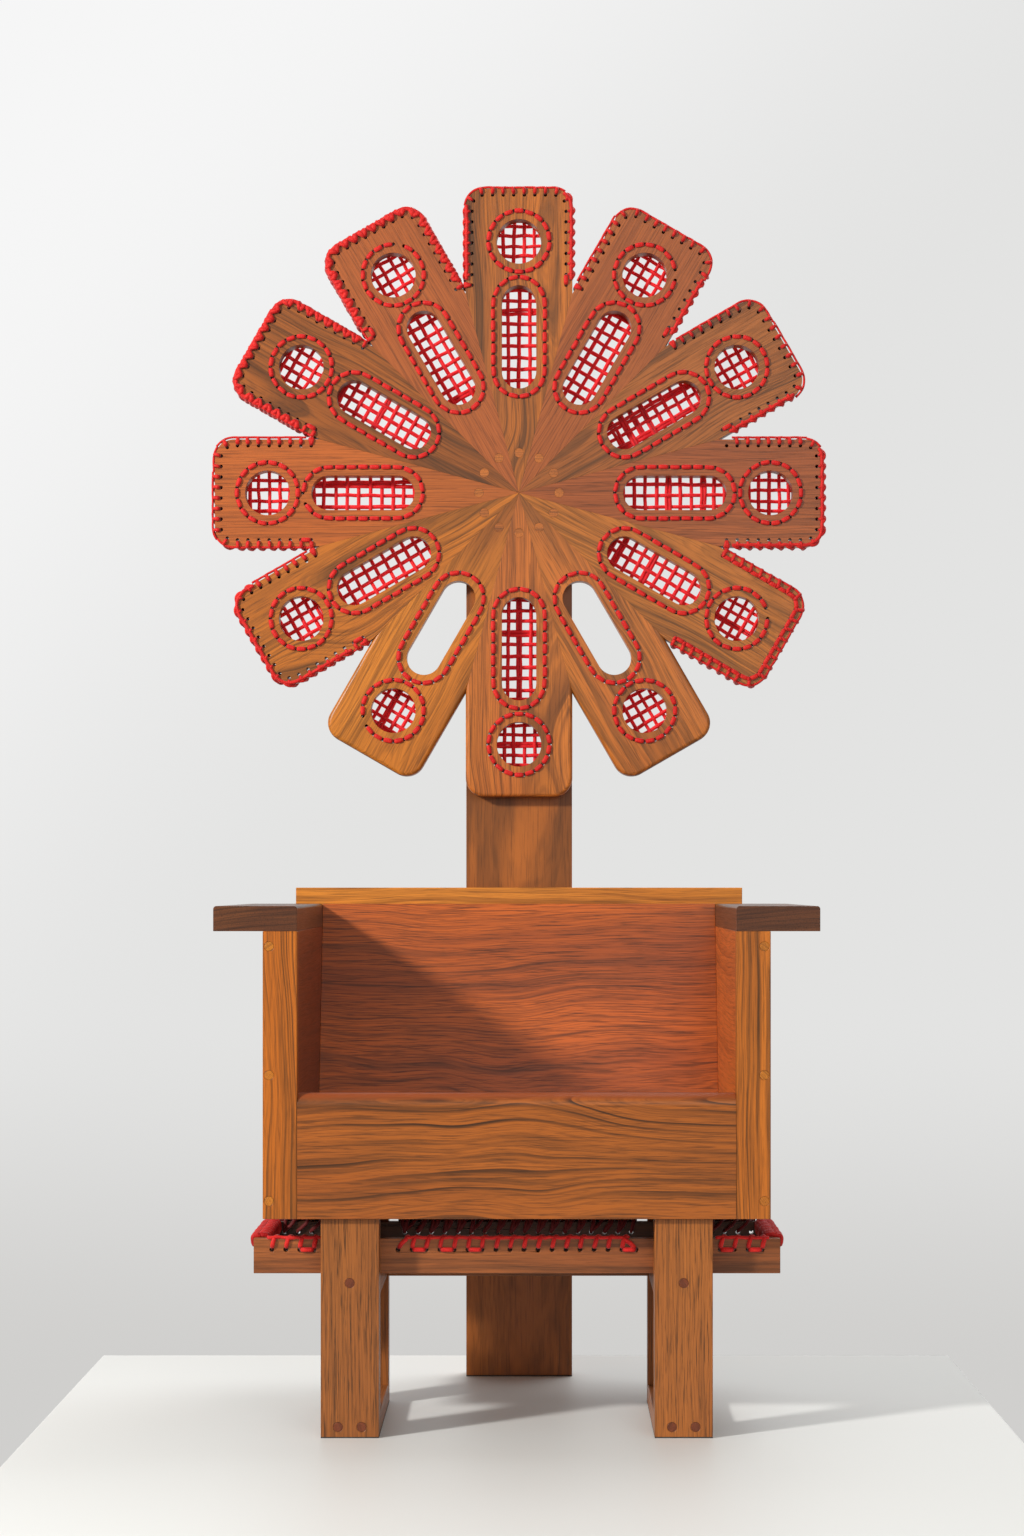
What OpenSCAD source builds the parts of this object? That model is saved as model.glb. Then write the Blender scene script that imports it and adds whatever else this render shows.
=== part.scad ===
// Peacock chair: a boxed armchair on two leg frames, with a tall plank behind it
// that carries a wheel of twelve laced petals. A laced tray lies on the leg frames.
// X is across the chair, Y runs from front to back, Z is up, and the floor is Z = 0.
// Left and right are as seen from the front, and petals are named by the hours of a clock.

/* [Petals] */
// Height of the centre of the wheel above the floor
fan_z = 1262; // [1150:1:1400]
// Radius of the wheel to the flat tip of a petal
fan_r = 433; // [415:1:470]
// Width of a petal between its parallel sides
petal_w = 152; // [140:1:160]
// Thickness of a petal
petal_t = 27; // [18:1:34]
// Radius of the two corners at a petal's tip
tip_corner_r = 27; // [15:1:40]
// Radius worked on the front edges of the three petals that have no edge lacing
bare_edge_r = 6; // [2:0.5:9]

/* [Petal openings] */
// Distance of the round opening from the centre of the wheel
round_at = 358; // [350:1:362]
// Diameter of the round opening
round_d = 63.5; // [50:0.5:70]
// Distance of the long opening's middle from the centre of the wheel
slot_at = 222; // [216:1:228]
// Width of the long opening
slot_w = 49; // [36:1:54]
// Length of the long opening with its round ends
slot_l = 147; // [120:1:152]
// Distance from an opening's edge to the ring of holes round it
ring_gap = 12.2; // [9:0.1:13]
// Diameter of the holes that the cord goes through
lace_hole_d = 4.8; // [4:0.1:6]
// Number of holes in the ring round a round opening
round_holes = 18; // [12:2:22]
// Number of holes in the ring round a long opening
slot_holes = 26; // [20:2:30]
// Distance from a petal's edge to the row of holes along it
edge_inset = 9; // [7:0.5:12]
// Distance between two holes along a petal's edge
edge_pitch = 15.3; // [12:0.1:22]

/* [Cord] */
// Diameter of the red cord on the petals
cord_d = 4.4; // [3:0.1:4.6]
// Diameter of the red cord on the tray
tray_cord_d = 5; // [3:0.1:5.6]

/* [Plank] */
// Width of the plank that stands behind the chair
plank_w = 151.5; // [140:0.5:170]
// Thickness of the plank
plank_t = 38; // [28:1:50]
// Height of the plank's top above the centre of the wheel
plank_over = 78; // [72:1:100]
// Room that the plank's openings leave round the rings of the lowest petal
plank_relief = 5; // [4:0.5:8]
// Diameter of the wooden dowels through the petals
dowel_d = 13; // [8:0.5:16]
// Radius of the circle of dowels
dowel_ring_r = 57; // [50:1:60]
// How far the dowels enter the plank
dowel_in_plank = 25; // [10:1:27]

/* [Seat box] */
// Height of the underside of the seat box
box_z = 279.4; // [270:0.2:320]
// Outside width of the seat box
box_w = 645.2; // [600:0.2:700]
// Height of the underside of the arms
arm_z = 645; // [600:1:700]
// Depth from the front face to the back board
box_depth = 478; // [440:1:540]
// Width of a front stile
stile_w = 43.6; // [40:0.2:60]
// Thickness of the stiles and of the front board
front_t = 22; // [20:1:30]
// Height of the top of the front board
front_top_z = 439; // [425:1:460]
// Radius worked on the top front edge of the front board
front_round_r = 16; // [6:1:18]
// Thickness of an outer side panel
outer_side_t = 16; // [12:1:18]
// Thickness of an inner side panel
inner_side_t = 18; // [12:1:20]
// Width of the back board
back_board_w = 636; // [600:1:645]
// Thickness of the back board
back_board_t = 22; // [16:1:30]
// Height of the top of the back board
back_board_z = 700; // [685:1:740]
// Height of the top of the seat
seat_z = 405; // [380:1:418]
// Thickness of the seat, of the bottom and of the reclined back panel
panel_t = 18; // [12:1:22]
// Lean of the back panel from the vertical, in degrees
back_lean = 16.5; // [10:0.5:20]
// Width of the flat top edge of the back panel
back_top_flat = 8; // [4:1:12]
// Height and width of the cleats under the seat
cleat_w = 20; // [14:1:26]

/* [Arms] */
// Width of an arm
arm_w = 106.5; // [80:0.5:130]
// Thickness of an arm
arm_t = 32; // [22:1:40]
// Radius on the long edges of an arm
arm_edge_r = 4; // [2:0.5:8]

/* [Legs] */
// Distance from the side of the seat box in to a leg frame
leg_in = 73.1; // [60:0.1:100]
// Width of a leg frame
leg_w = 74; // [60:1:80]
// Setback of the front posts from the front face
leg_setback = 8; // [2:1:20]
// Depth of a front post
front_post_d = 40; // [30:1:50]
// Depth of a rear post
rear_post_d = 30; // [24:1:44]
// Height of a runner
runner_h = 25; // [20:1:36]
// Height of the rails that carry the tray
rail_h = 26; // [22:1:34]
// Depth of the cross stretcher between the leg frames
stretcher_d = 33; // [22:1:40]
// Thickness of the felt under the feet
felt_t = 1.5; // [1:0.5:3]

/* [Laced tray] */
// How far the tray reaches out past each side of the seat box
tray_out = 15.9; // [0:0.1:26]
// Outside depth of the tray
tray_depth = 212; // [190:1:230]
// Height of the tray's boards
tray_h = 44.6; // [38:0.2:52]
// Thickness of the tray's boards
tray_t = 14; // [10:1:18]
// Gap between the tray's top edge and the seat box
tray_drop = 30.2; // [26:0.2:40]
// Diameter of the holes in the tray
tray_hole_d = 6; // [5.6:0.1:7]
// Distance from the tray's top edge to the row of holes
tray_inset = 14; // [10:0.5:18]
// Distance between two holes of the tray
tray_pitch = 18; // [14:0.5:24]

/* [Pegs] */
// Diameter of the pegs in the box, the plank and the runners
peg_d = 12; // [8:0.5:14]
// How far a peg enters the second piece
peg_grip = 22; // [12:1:30]
// Clearance round a peg in its hole
peg_clear = 0.1; // [0.05:0.05:0.3]

/* [Hidden] */
$fn = 48;

// Twelve petals share the wheel
petal_count = 12;
petal_step = 360 / petal_count;
half_w = petal_w / 2;
// Where two neighbouring petals part, measured along a petal's own axis
notch_at = half_w / tan(petal_step / 2);
bare_hours = [5, 6, 7];
open_slot_hours = [5, 7];

// Depths from the front face
fan_back_d = box_depth + back_board_t;
total_depth = fan_back_d + plank_t;
plank_top_z = fan_z + plank_over;
inner_half = box_w / 2 - stile_w;
box_half = box_w / 2;

// Leg frames and tray, from the front face back and from the seat box down
post_back_d = leg_setback + front_post_d;
rear_post_at = post_back_d + tray_depth;
tray_top_z = box_z - tray_drop;
tray_bottom_z = tray_top_z - tray_h;
rail_z = tray_bottom_z - rail_h;
leg_outer = box_half - leg_in;
leg_inner = leg_outer - leg_w;
leg_x = (leg_inner + leg_outer) / 2;

wood = "sienna";
dark_wood = "saddlebrown";
pale_wood = "peru";
cord_red = "crimson";

// Frames of reference

// The chair's front face is at depth 0 and its middle is over the origin
module from_front(d) {
    translate([0, d - total_depth / 2, 0]) children();
}

// A box given by its limits across, in depth from the front face, and in height
module board(x0, x1, d0, d1, z0, z1) {
    from_front(d0) translate([x0, 0, z0]) cube([x1 - x0, d1 - d0, z1 - z0]);
}

// Turns a piece drawn for the right side into the left one when side is -1
module on_side(side) {
    if (side < 0) mirror([1, 0, 0]) children();
    else children();
}

// A peg along the depth, from depth d0 to d1, in the middle of what it pins
module peg(x, z, d0, d1, d) {
    from_front(d0) translate([x, 0, z]) rotate([-90, 0, 0]) cylinder(d = d, h = d1 - d0);
}

// The frame of the petal at an hour: X runs out along the petal, Z towards the sitter
module at_hour(h) {
    from_front(fan_back_d) translate([0, 0, fan_z]) rotate([90, 0, 0])
        rotate([0, 0, 90 - petal_step * h]) children();
}

function is_bare(h) = len(search(h, bare_hours)) > 0;
function has_slot_net(h) = len(search(h, open_slot_hours)) == 0;

// Rows of holes

// Holes of the ring round a round opening, in the petal's frame
ring_r = round_d / 2 + ring_gap;
function round_ring(i) =
    let (a = 360 / round_holes * (i + 0.5))
    [round_at + ring_r * cos(a), ring_r * sin(a)];

// Holes of the ring round a long opening: a straight run each side and two half circles
slot_ring_r = slot_w / 2 + ring_gap;
slot_run = slot_l - slot_w;
slot_round = PI * slot_ring_r;
slot_ring_len = 2 * slot_run + 2 * slot_round;
function slot_ring_half(s) =
    s < slot_round / 2
        ? [slot_run / 2 + slot_ring_r * cos(s / slot_ring_r * 180 / PI),
           slot_ring_r * sin(s / slot_ring_r * 180 / PI)]
        : s < slot_round / 2 + slot_run
            ? [slot_run / 2 - (s - slot_round / 2), slot_ring_r]
            : [-slot_run / 2 - slot_ring_r * sin((s - slot_round / 2 - slot_run) / slot_ring_r * 180 / PI),
               slot_ring_r * cos((s - slot_round / 2 - slot_run) / slot_ring_r * 180 / PI)];
function slot_ring(i) =
    let (s = slot_ring_len * i / slot_holes)
    let (p = s <= slot_ring_len / 2 ? slot_ring_half(s) : slot_ring_half(slot_ring_len - s))
    [slot_at + p[0], s <= slot_ring_len / 2 ? p[1] : -p[1]];

// Holes along a petal's edge: one half row runs from the middle of the tip to the notch
row_corner_r = tip_corner_r - edge_inset;
row_tip = half_w - tip_corner_r;
row_corner = PI / 2 * row_corner_r;
row_side = fan_r - tip_corner_r - notch_at - edge_inset / 2;
row_half = row_tip + row_corner + row_side;
edge_holes = 2 * floor(row_half / edge_pitch + 0.5);
// Each entry is a place along X and Y and the angle at which the edge faces out
function edge_half(s) =
    s < row_tip
        ? [fan_r - edge_inset, s, 0]
        : s < row_tip + row_corner
            ? let (a = (s - row_tip) / row_corner * 90)
              [fan_r - tip_corner_r + row_corner_r * cos(a), row_tip + row_corner_r * sin(a), a]
            : [fan_r - tip_corner_r - (s - row_tip - row_corner), half_w - edge_inset, 90];
function edge_hole(i) =
    let (s = row_half * (2 * (i + 0.5) / edge_holes - 1))
    let (p = edge_half(abs(s)))
    s < 0 ? [p[0], -p[1], -p[2]] : p;

// Petals

// A petal's outline: a bar with two round corners that ends in a wedge at the centre
module petal_outline() {
    intersection() {
        polygon([[0, 0], [2 * fan_r, 2 * fan_r * tan(petal_step / 2)],
                 [2 * fan_r, -2 * fan_r * tan(petal_step / 2)]]);
        union() {
            translate([0, -half_w]) square([fan_r - tip_corner_r, petal_w]);
            translate([0, tip_corner_r - half_w]) square([fan_r, petal_w - 2 * tip_corner_r]);
            for (s = [-1, 1])
                translate([fan_r - tip_corner_r, s * (half_w - tip_corner_r)]) circle(tip_corner_r);
        }
    }
}

// The round opening and the long one
module petal_openings(extra) {
    translate([round_at, 0]) circle(d = round_d + 2 * extra);
    for (s = [-1, 1])
        translate([slot_at + s * slot_run / 2, 0]) circle(d = slot_w + 2 * extra);
    translate([slot_at - slot_run / 2, -slot_w / 2 - extra]) square([slot_run, slot_w + 2 * extra]);
}

module petal_lace_holes(h) {
    for (i = [0 : round_holes - 1]) translate(round_ring(i)) circle(d = lace_hole_d);
    for (i = [0 : slot_holes - 1]) translate(slot_ring(i)) circle(d = lace_hole_d);
    if (!is_bare(h))
        for (i = [0 : edge_holes - 1])
            translate([edge_hole(i)[0], edge_hole(i)[1]]) circle(d = lace_hole_d);
}

// What a quarter-round of radius r takes off a square corner, as a profile
module quarter_round(r) {
    difference() {
        translate([-r, -r]) square(r + 1);
        translate([-r, -r]) circle(r);
    }
}

// The quarter-round worked round a bare petal's front edge
module bare_edge_cut() {
    run = fan_r - tip_corner_r;
    for (s = [0, 1]) mirror([0, s, 0]) {
        translate([0, half_w, petal_t]) rotate([90, 0, 90])
            linear_extrude(run) quarter_round(bare_edge_r);
        translate([run, half_w - tip_corner_r, petal_t]) rotate_extrude(angle = 90)
            translate([tip_corner_r, 0]) quarter_round(bare_edge_r);
    }
    translate([fan_r, half_w - tip_corner_r, petal_t]) rotate([90, 0, 0])
        linear_extrude(petal_w - 2 * tip_corner_r) quarter_round(bare_edge_r);
}

module petal(h) {
    color(h % 2 == 0 ? wood : dark_wood) at_hour(h) difference() {
        linear_extrude(petal_t) difference() {
            petal_outline();
            petal_openings(0);
            petal_lace_holes(h);
            translate([dowel_ring_r, 0]) circle(d = dowel_d + 2 * peg_clear);
        }
        if (is_bare(h)) bare_edge_cut();
    }
}

module fan_dowels() {
    color(pale_wood) for (h = [1 : petal_count]) at_hour(h)
        translate([dowel_ring_r, 0, -dowel_in_plank])
            cylinder(d = dowel_d, h = dowel_in_plank + petal_t);
}

// Cord work

// Room between the lacing and the wood, and the number of the cord's sides
cord_lift = 0.2;
cord_sides = 4;

// A straight length of cord between two points
module strand(a, b, d) {
    v = b - a;
    run = norm(v);
    translate(a) rotate([0, acos(v[2] / run), atan2(v[1], v[0])]) cylinder(d = d, h = run, $fn = 16);
}

// A net strand on the back of a petal between two holes, in layer 0 or 1
module net_strand(p, q, layer) {
    z = -cord_d / 2 - layer * (cord_d + cord_lift / 2);
    strand([p[0], p[1], z], [q[0], q[1], z], cord_d);
}

// The strands that cross a round opening, five across the petal and four along it
module round_nets() {
    last = round_holes - 1;
    half = round_holes / 2;
    color(cord_red) for (h = [1 : petal_count]) at_hour(h) {
        for (i = [0 : half - 1]) if (abs(round_ring(i)[0] - round_at) < round_d / 2)
            net_strand(round_ring(i), round_ring(last - i), 0);
        for (i = [0 : half / 2 - 1]) if (round_ring(i)[1] < round_d / 2) {
            net_strand(round_ring(i), round_ring(half - 1 - i), 1);
            net_strand(round_ring(last - i), round_ring(half + i), 1);
        }
    }
}

// The strands that cross a long opening, three of them along it
module slot_nets() {
    half = slot_holes / 2;
    color(cord_red) for (h = [1 : petal_count]) if (has_slot_net(h)) at_hour(h) {
        for (i = [2 : half - 2]) net_strand(slot_ring(i), slot_ring(slot_holes - i), 0);
        for (i = [-1 : 1])
            net_strand(slot_ring((i + slot_holes) % slot_holes), slot_ring(half - i), 1);
    }
}

// A stitch on the petal's face that stops short of the cord in the holes at its ends
module stitch(p, q) {
    z = petal_t + cord_d / 2;
    a = [p[0], p[1], z];
    b = [q[0], q[1], z];
    u = (b - a) / norm(b - a) * (lace_hole_d / 2 + cord_lift);
    strand(a + u, b - u, cord_d);
}

module ring_stitches() {
    color(cord_red) for (h = [1 : petal_count]) at_hour(h) {
        for (i = [0 : round_holes - 1]) stitch(round_ring(i), round_ring((i + 1) % round_holes));
        for (i = [0 : slot_holes - 1]) stitch(slot_ring(i), slot_ring((i + 1) % slot_holes));
    }
}

// Lacing: one unbroken cord that winds over a board's edge through a row of holes

function unit(v) = v / norm(v);

// A ring of points round the start of a cord that sets off from p along dir
function first_ring(p, dir, d) =
    let (side = unit(cross(dir, abs(dir[1]) < 0.9 ? [0, 1, 0] : [1, 0, 0])))
    let (up = cross(dir, side))
    [for (k = [0 : cord_sides - 1])
        p + d / 2 * (side * cos(360 * k / cord_sides) + up * sin(360 * k / cord_sides))];

// The ring slid along dir to the plane through p that faces along normal
function slid_ring(ring, dir, p, normal) =
    [for (q = ring) q + dir * ((p - q) * normal) / (dir * normal)];

// All the rings of a cord along a path, with a mitre at each bend
function cord_rings(path, d) =
    let (last = len(path) - 1)
    let (way = [for (k = [0 : last - 1]) unit(path[k + 1] - path[k])])
    let (face = [for (k = [0 : last]) k == 0 ? way[0] : k == last ? way[last - 1]
                                             : unit(way[k - 1] + way[k])])
    [for (k = 0, ring = first_ring(path[0], way[0], d); k <= last;
          k = k + 1,
          ring = k <= last ? slid_ring(ring, way[k - 1], path[k], face[k]) : ring) ring];

// A cord along a path, closed at both ends
module cord_along(path, d) {
    rings = cord_rings(path, d);
    n = cord_sides;
    last = len(path) - 1;
    sides = [for (k = [0 : last - 1]) for (j = [0 : n - 1])
        let (a = k * n + j, b = k * n + (j + 1) % n)
        each [[a, a + n, b], [b, a + n, b + n]]];
    caps = [for (j = [1 : n - 2]) each [[0, j, j + 1], [last * n, last * n + j + 1, last * n + j]]];
    polyhedron(points = [for (r = rings) each r], faces = concat(sides, caps));
}

// The path of a cord that winds over an edge. Each hole is a place along X and Y and
// the angle of its way out to the edge, and the board fills Z from -thick up to 0.
// The cord comes through a hole to the front, goes out and over the edge, and runs
// along the back to the next hole. It starts and ends inside a hole.
function winding(holes, inset, thick, d) =
    let (off = d / 2 + cord_lift, back = -thick - off)
    concat(
        [[holes[0][0], holes[0][1], -thick / 2]],
        [for (i = [0 : len(holes) - 2])
            let (h = holes[i], next = holes[i + 1])
            let (o = [h[0] + (inset + off) * cos(h[2]), h[1] + (inset + off) * sin(h[2])])
            each [[h[0], h[1], off], [o[0], o[1], off], [o[0], o[1], back],
                  [next[0], next[1], back]]],
        [[holes[len(holes) - 1][0], holes[len(holes) - 1][1], -thick / 2]]);

// Points along the stretch of a path that starts at bend i, a quarter of it apart
function stretch_points(path, i) =
    [for (t = [0 : 0.25 : 1]) path[i] + t * (path[i + 1] - path[i])];

// The least gap from a cord to itself, over all stretches that don't share a bend
function least_gap(path, d) =
    let (last = len(path) - 2, on = [for (i = [0 : last]) stretch_points(path, i)])
    min([for (i = [0 : last - 2]) for (j = [i + 2 : last]) for (p = on[i]) for (q = on[j])
        norm(p - q)]) - d;

// One cord goes round a petal's edge through all holes but the two nearest the notches,
// where neighbours leave no room. There a stitch lies along the front face.
module petal_lacing(h) {
    last = edge_holes - 1;
    path = winding([for (i = [1 : last - 1]) edge_hole(i)], edge_inset, petal_t, cord_d);
    echo(petal = h, least_gap_of_cord = least_gap(path, cord_d));
    color(cord_red) at_hour(h) {
        translate([0, 0, petal_t]) cord_along(path, cord_d);
        stitch(edge_hole(0), edge_hole(1));
        stitch(edge_hole(last - 1), edge_hole(last));
    }
}

// Plank

module back_plank() {
    color(dark_wood) difference() {
        board(-plank_w / 2, plank_w / 2, fan_back_d, total_depth, felt_t, plank_top_z);
        at_hour(petal_count / 2) translate([0, 0, -plank_t - 1]) linear_extrude(plank_t + 2)
            petal_openings(ring_gap + plank_relief);
        for (h = [1 : petal_count]) at_hour(h) translate([dowel_ring_r, 0, -dowel_in_plank])
            cylinder(d = dowel_d + 2 * peg_clear, h = dowel_in_plank + 1);
        plank_peg_set(2 * peg_clear);
    }
}

// Six pegs that hold the plank to the back board
plank_peg_x = plank_w / 2 - 2.5 * peg_d;
plank_peg_grip = back_board_t - 7;
module plank_peg_set(extra) {
    for (x = [-plank_peg_x, plank_peg_x])
        for (z = [box_z + 4 * peg_d, (box_z + arm_z) / 2, arm_z - peg_d])
            peg(x, z, fan_back_d - plank_peg_grip, total_depth + extra, peg_d + extra);
}

module plank_pegs() {
    color(pale_wood) plank_peg_set(0);
}

// Seat box

module stile(side) {
    color(pale_wood) difference() {
        on_side(side) board(inner_half, box_half, 0, front_t, box_z, arm_z);
        stile_peg_set(2 * peg_clear);
    }
}

// Three pegs in each stile, in line with the outer side panels
stile_peg_x = box_half - outer_side_t / 2;
module stile_peg_set(extra) {
    for (x = [-stile_peg_x, stile_peg_x])
        for (z = [box_z + 1.9 * peg_d, (box_z + arm_z) / 2, arm_z - 1.6 * peg_d])
            peg(x, z, -extra, front_t + peg_grip, peg_d + extra);
}

module stile_pegs() {
    color(pale_wood) stile_peg_set(0);
}

module front_board() {
    r = front_round_r;
    h = front_top_z - box_z;
    color(wood) from_front(0) translate([-inner_half, 0, box_z]) rotate([90, 0, 90])
        linear_extrude(2 * inner_half) difference() {
            square([front_t, h]);
            translate([0, h]) rotate(90) quarter_round(r);
        }
}

module outer_side(side) {
    color(wood) difference() {
        on_side(side) board(box_half - outer_side_t, box_half, front_t, box_depth, box_z, arm_z);
        stile_peg_set(2 * peg_clear);
    }
}

module inner_side(side) {
    color(dark_wood) on_side(side)
        board(inner_half, inner_half + inner_side_t, front_t, box_depth, box_z + panel_t, arm_z);
}

module back_board() {
    color(pale_wood) difference() {
        board(-back_board_w / 2, back_board_w / 2, box_depth, fan_back_d, box_z, back_board_z);
        plank_peg_set(2 * peg_clear);
    }
}

// The reclined panel's face starts where the seat ends, and its top lies on the back board
back_top_z = arm_z + arm_t;
back_rise = back_top_z - seat_z;
back_depth = panel_t / cos(back_lean);
seat_back_d = box_depth - back_top_flat - back_rise * tan(back_lean);
seat_under_z = seat_z - panel_t;

module back_panel() {
    foot_back_d = seat_back_d + back_depth;
    meet = (box_depth - foot_back_d) / tan(back_lean);
    color(dark_wood) from_front(0) translate([-inner_half, 0, seat_z]) rotate([90, 0, 90])
        linear_extrude(2 * inner_half)
            polygon([[seat_back_d, -panel_t], [seat_back_d, 0],
                     [box_depth - back_top_flat, back_rise], [box_depth, back_rise],
                     [box_depth, meet], [foot_back_d, 0], [foot_back_d, -panel_t]]);
}

module seat_panel() {
    color(wood) board(-inner_half, inner_half, front_t, seat_back_d, seat_under_z, seat_z);
}

module bottom_panel() {
    half = box_half - outer_side_t;
    color(wood) board(-half, half, front_t, box_depth, box_z, box_z + panel_t);
}

// Cleats go round under the seat, and the rear one carries the foot of the panel too
module seat_cleats() {
    rear_d = seat_back_d - cleat_w / 2;
    color(pale_wood) {
        for (side = [-1, 1]) on_side(side)
            board(inner_half - cleat_w, inner_half, front_t + 1.5 * cleat_w,
                  rear_d - cleat_w / 2, seat_under_z - cleat_w, seat_under_z);
        board(-inner_half, inner_half, front_t, front_t + cleat_w,
              seat_under_z - cleat_w, seat_under_z);
        board(-inner_half, inner_half, rear_d, rear_d + cleat_w / 2 + back_depth,
              seat_under_z - cleat_w, seat_under_z);
    }
}

// An arm lies on the stile and the side panels and is notched round the back board
module arm(side) {
    r = arm_edge_r;
    color(dark_wood) on_side(side) difference() {
        from_front(0) translate([inner_half, 0, arm_z]) rotate([90, 0, 0]) mirror([0, 0, 1])
            linear_extrude(fan_back_d) union() {
                square([arm_w, arm_t - r]);
                translate([r, 0]) square([arm_w - 2 * r, arm_t]);
                for (x = [r, arm_w - r]) translate([x, arm_t - r]) circle(r);
            }
        board(0, back_board_w / 2, box_depth, fan_back_d + 1, arm_z - 1, arm_z + arm_t + 1);
    }
}

// Leg frames

module front_post(side) {
    color(wood) difference() {
        on_side(side) board(leg_inner, leg_outer, leg_setback, post_back_d, felt_t, box_z);
        leg_peg_set(2 * peg_clear);
    }
}

module rear_post(side) {
    color(wood) on_side(side)
        board(leg_inner, leg_outer, rear_post_at, rear_post_at + rear_post_d, felt_t, box_z);
}

module runner(side) {
    color(wood) difference() {
        on_side(side)
            board(leg_inner, leg_outer, post_back_d, rear_post_at, felt_t, felt_t + runner_h);
        leg_peg_set(2 * peg_clear);
    }
}

module side_rail(side) {
    color(wood) difference() {
        on_side(side)
            board(leg_inner, leg_outer, post_back_d, rear_post_at, rail_z, tray_bottom_z);
        leg_peg_set(2 * peg_clear);
    }
}

// Two pegs through each front post into the runner and one into the side rail
runner_peg_x = 1.25 * peg_d;
runner_peg_z = felt_t + runner_h / 2;
rail_peg_edge = 1.5;
rail_peg_z = tray_bottom_z - rail_peg_edge - peg_d / 2;
module leg_peg_set(extra) {
    for (side = [-1, 1])
        for (p = [[-runner_peg_x, runner_peg_z], [runner_peg_x, runner_peg_z], [0, rail_peg_z]])
            peg(side * leg_x + p[0], p[1], leg_setback - extra,
                post_back_d + peg_grip, peg_d + extra);
}

module leg_pegs() {
    color(dark_wood) leg_peg_set(0);
}

module cross_stretcher() {
    color(wood)
        board(-leg_inner, leg_inner, rear_post_at - stretcher_d, rear_post_at, rail_z, tray_bottom_z);
}

module foot_pads() {
    color("dimgray") {
        for (side = [-1, 1]) on_side(side)
            board(leg_inner, leg_outer, leg_setback, rear_post_at + rear_post_d, 0, felt_t);
        board(-plank_w / 2, plank_w / 2, fan_back_d, total_depth, 0, felt_t);
    }
}

// Laced tray

tray_half = box_half + tray_out;
tray_front_d = post_back_d;
tray_back_d = post_back_d + tray_depth;
tray_row_z = tray_top_z - tray_inset;
long_holes = floor(2 * (tray_half - tray_t) / tray_pitch);
side_holes = floor((tray_depth - 2 * tray_t) / tray_pitch);
function long_hole_x(i) = (i - (long_holes - 1) / 2) * tray_pitch;
function side_hole_d(i) = (tray_front_d + tray_back_d) / 2 + (i - (side_holes - 1) / 2) * tray_pitch;
// The posts stand against the front and back boards, so no cord goes over the edge there
function clear_of_post(x) =
    abs(x) < leg_inner - tray_cord_d || abs(x) > leg_outer + tray_cord_d;

module tray_long(d0) {
    color(wood) difference() {
        board(-tray_half, tray_half, d0, d0 + tray_t, tray_bottom_z, tray_top_z);
        for (i = [0 : long_holes - 1]) if (clear_of_post(long_hole_x(i)))
            peg(long_hole_x(i), tray_row_z, d0 - 1, d0 + tray_t + 1, tray_hole_d);
    }
}

module tray_side(side) {
    color(wood) difference() {
        on_side(side) board(tray_half - tray_t, tray_half, tray_front_d + tray_t,
                            tray_back_d - tray_t, tray_bottom_z, tray_top_z);
        for (i = [0 : side_holes - 1])
            from_front(side_hole_d(i)) translate([side * tray_half, 0, tray_row_z])
                rotate([0, 90, 0]) cylinder(d = tray_hole_d, h = 4 * tray_t, center = true);
    }
}

// The stretches of the long rows that no post covers
function long_row(low, high) =
    [for (i = [0 : long_holes - 1]) let (x = long_hole_x(i))
        if (clear_of_post(x) && x > low && x < high) x];

// A cord wound over a tray board: X runs along the board, Y up, Z out of its outer face
module tray_row(places) {
    path = winding([for (x = places) [x, 0, 90]], tray_inset, tray_t, tray_cord_d);
    echo(tray_turns = len(places) - 1, least_gap_of_cord = least_gap(path, tray_cord_d));
    cord_along(path, tray_cord_d);
}

module tray_lacing() {
    side_places = [for (i = [0 : side_holes - 1]) (i - (side_holes - 1) / 2) * tray_pitch];
    color(cord_red) translate([0, 0, tray_row_z]) {
        for (row = [[-tray_half, -leg_x], [-leg_x, leg_x], [leg_x, tray_half]]) {
            from_front(tray_front_d) rotate([90, 0, 0]) tray_row(long_row(row[0], row[1]));
            from_front(tray_back_d) rotate([90, 0, 180]) tray_row(long_row(row[0], row[1]));
        }
        for (turn = [90, -90]) from_front((tray_front_d + tray_back_d) / 2)
            rotate([0, 0, turn]) translate([0, -tray_half, 0]) rotate([90, 0, 0])
                tray_row(side_places);
    }
}

petal(1);  // petal_01
petal(2);  // petal_02
petal(3);  // petal_03
petal(4);  // petal_04
petal(5);  // petal_05
petal(6);  // petal_06
petal(7);  // petal_07
petal(8);  // petal_08
petal(9);  // petal_09
petal(10);  // petal_10
petal(11);  // petal_11
petal(12);  // petal_12
petal_lacing(1);  // lacing_01
petal_lacing(2);  // lacing_02
petal_lacing(3);  // lacing_03
petal_lacing(4);  // lacing_04
petal_lacing(8);  // lacing_08
petal_lacing(9);  // lacing_09
petal_lacing(10);  // lacing_10
petal_lacing(11);  // lacing_11
petal_lacing(12);  // lacing_12
back_plank();
fan_dowels();
round_nets();
slot_nets();
ring_stitches();
front_board();
stile(-1);  // left_stile
stile(1);  // right_stile
outer_side(-1);  // left_outer_side
outer_side(1);  // right_outer_side
inner_side(-1);  // left_inner_side
inner_side(1);  // right_inner_side
back_board();
back_panel();
seat_panel();
bottom_panel();
seat_cleats();
arm(-1);  // left_arm
arm(1);  // right_arm
stile_pegs();
plank_pegs();
front_post(-1);  // left_front_post
front_post(1);  // right_front_post
rear_post(-1);  // left_rear_post
rear_post(1);  // right_rear_post
runner(-1);  // left_runner
runner(1);  // right_runner
side_rail(-1);  // left_side_rail
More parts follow.
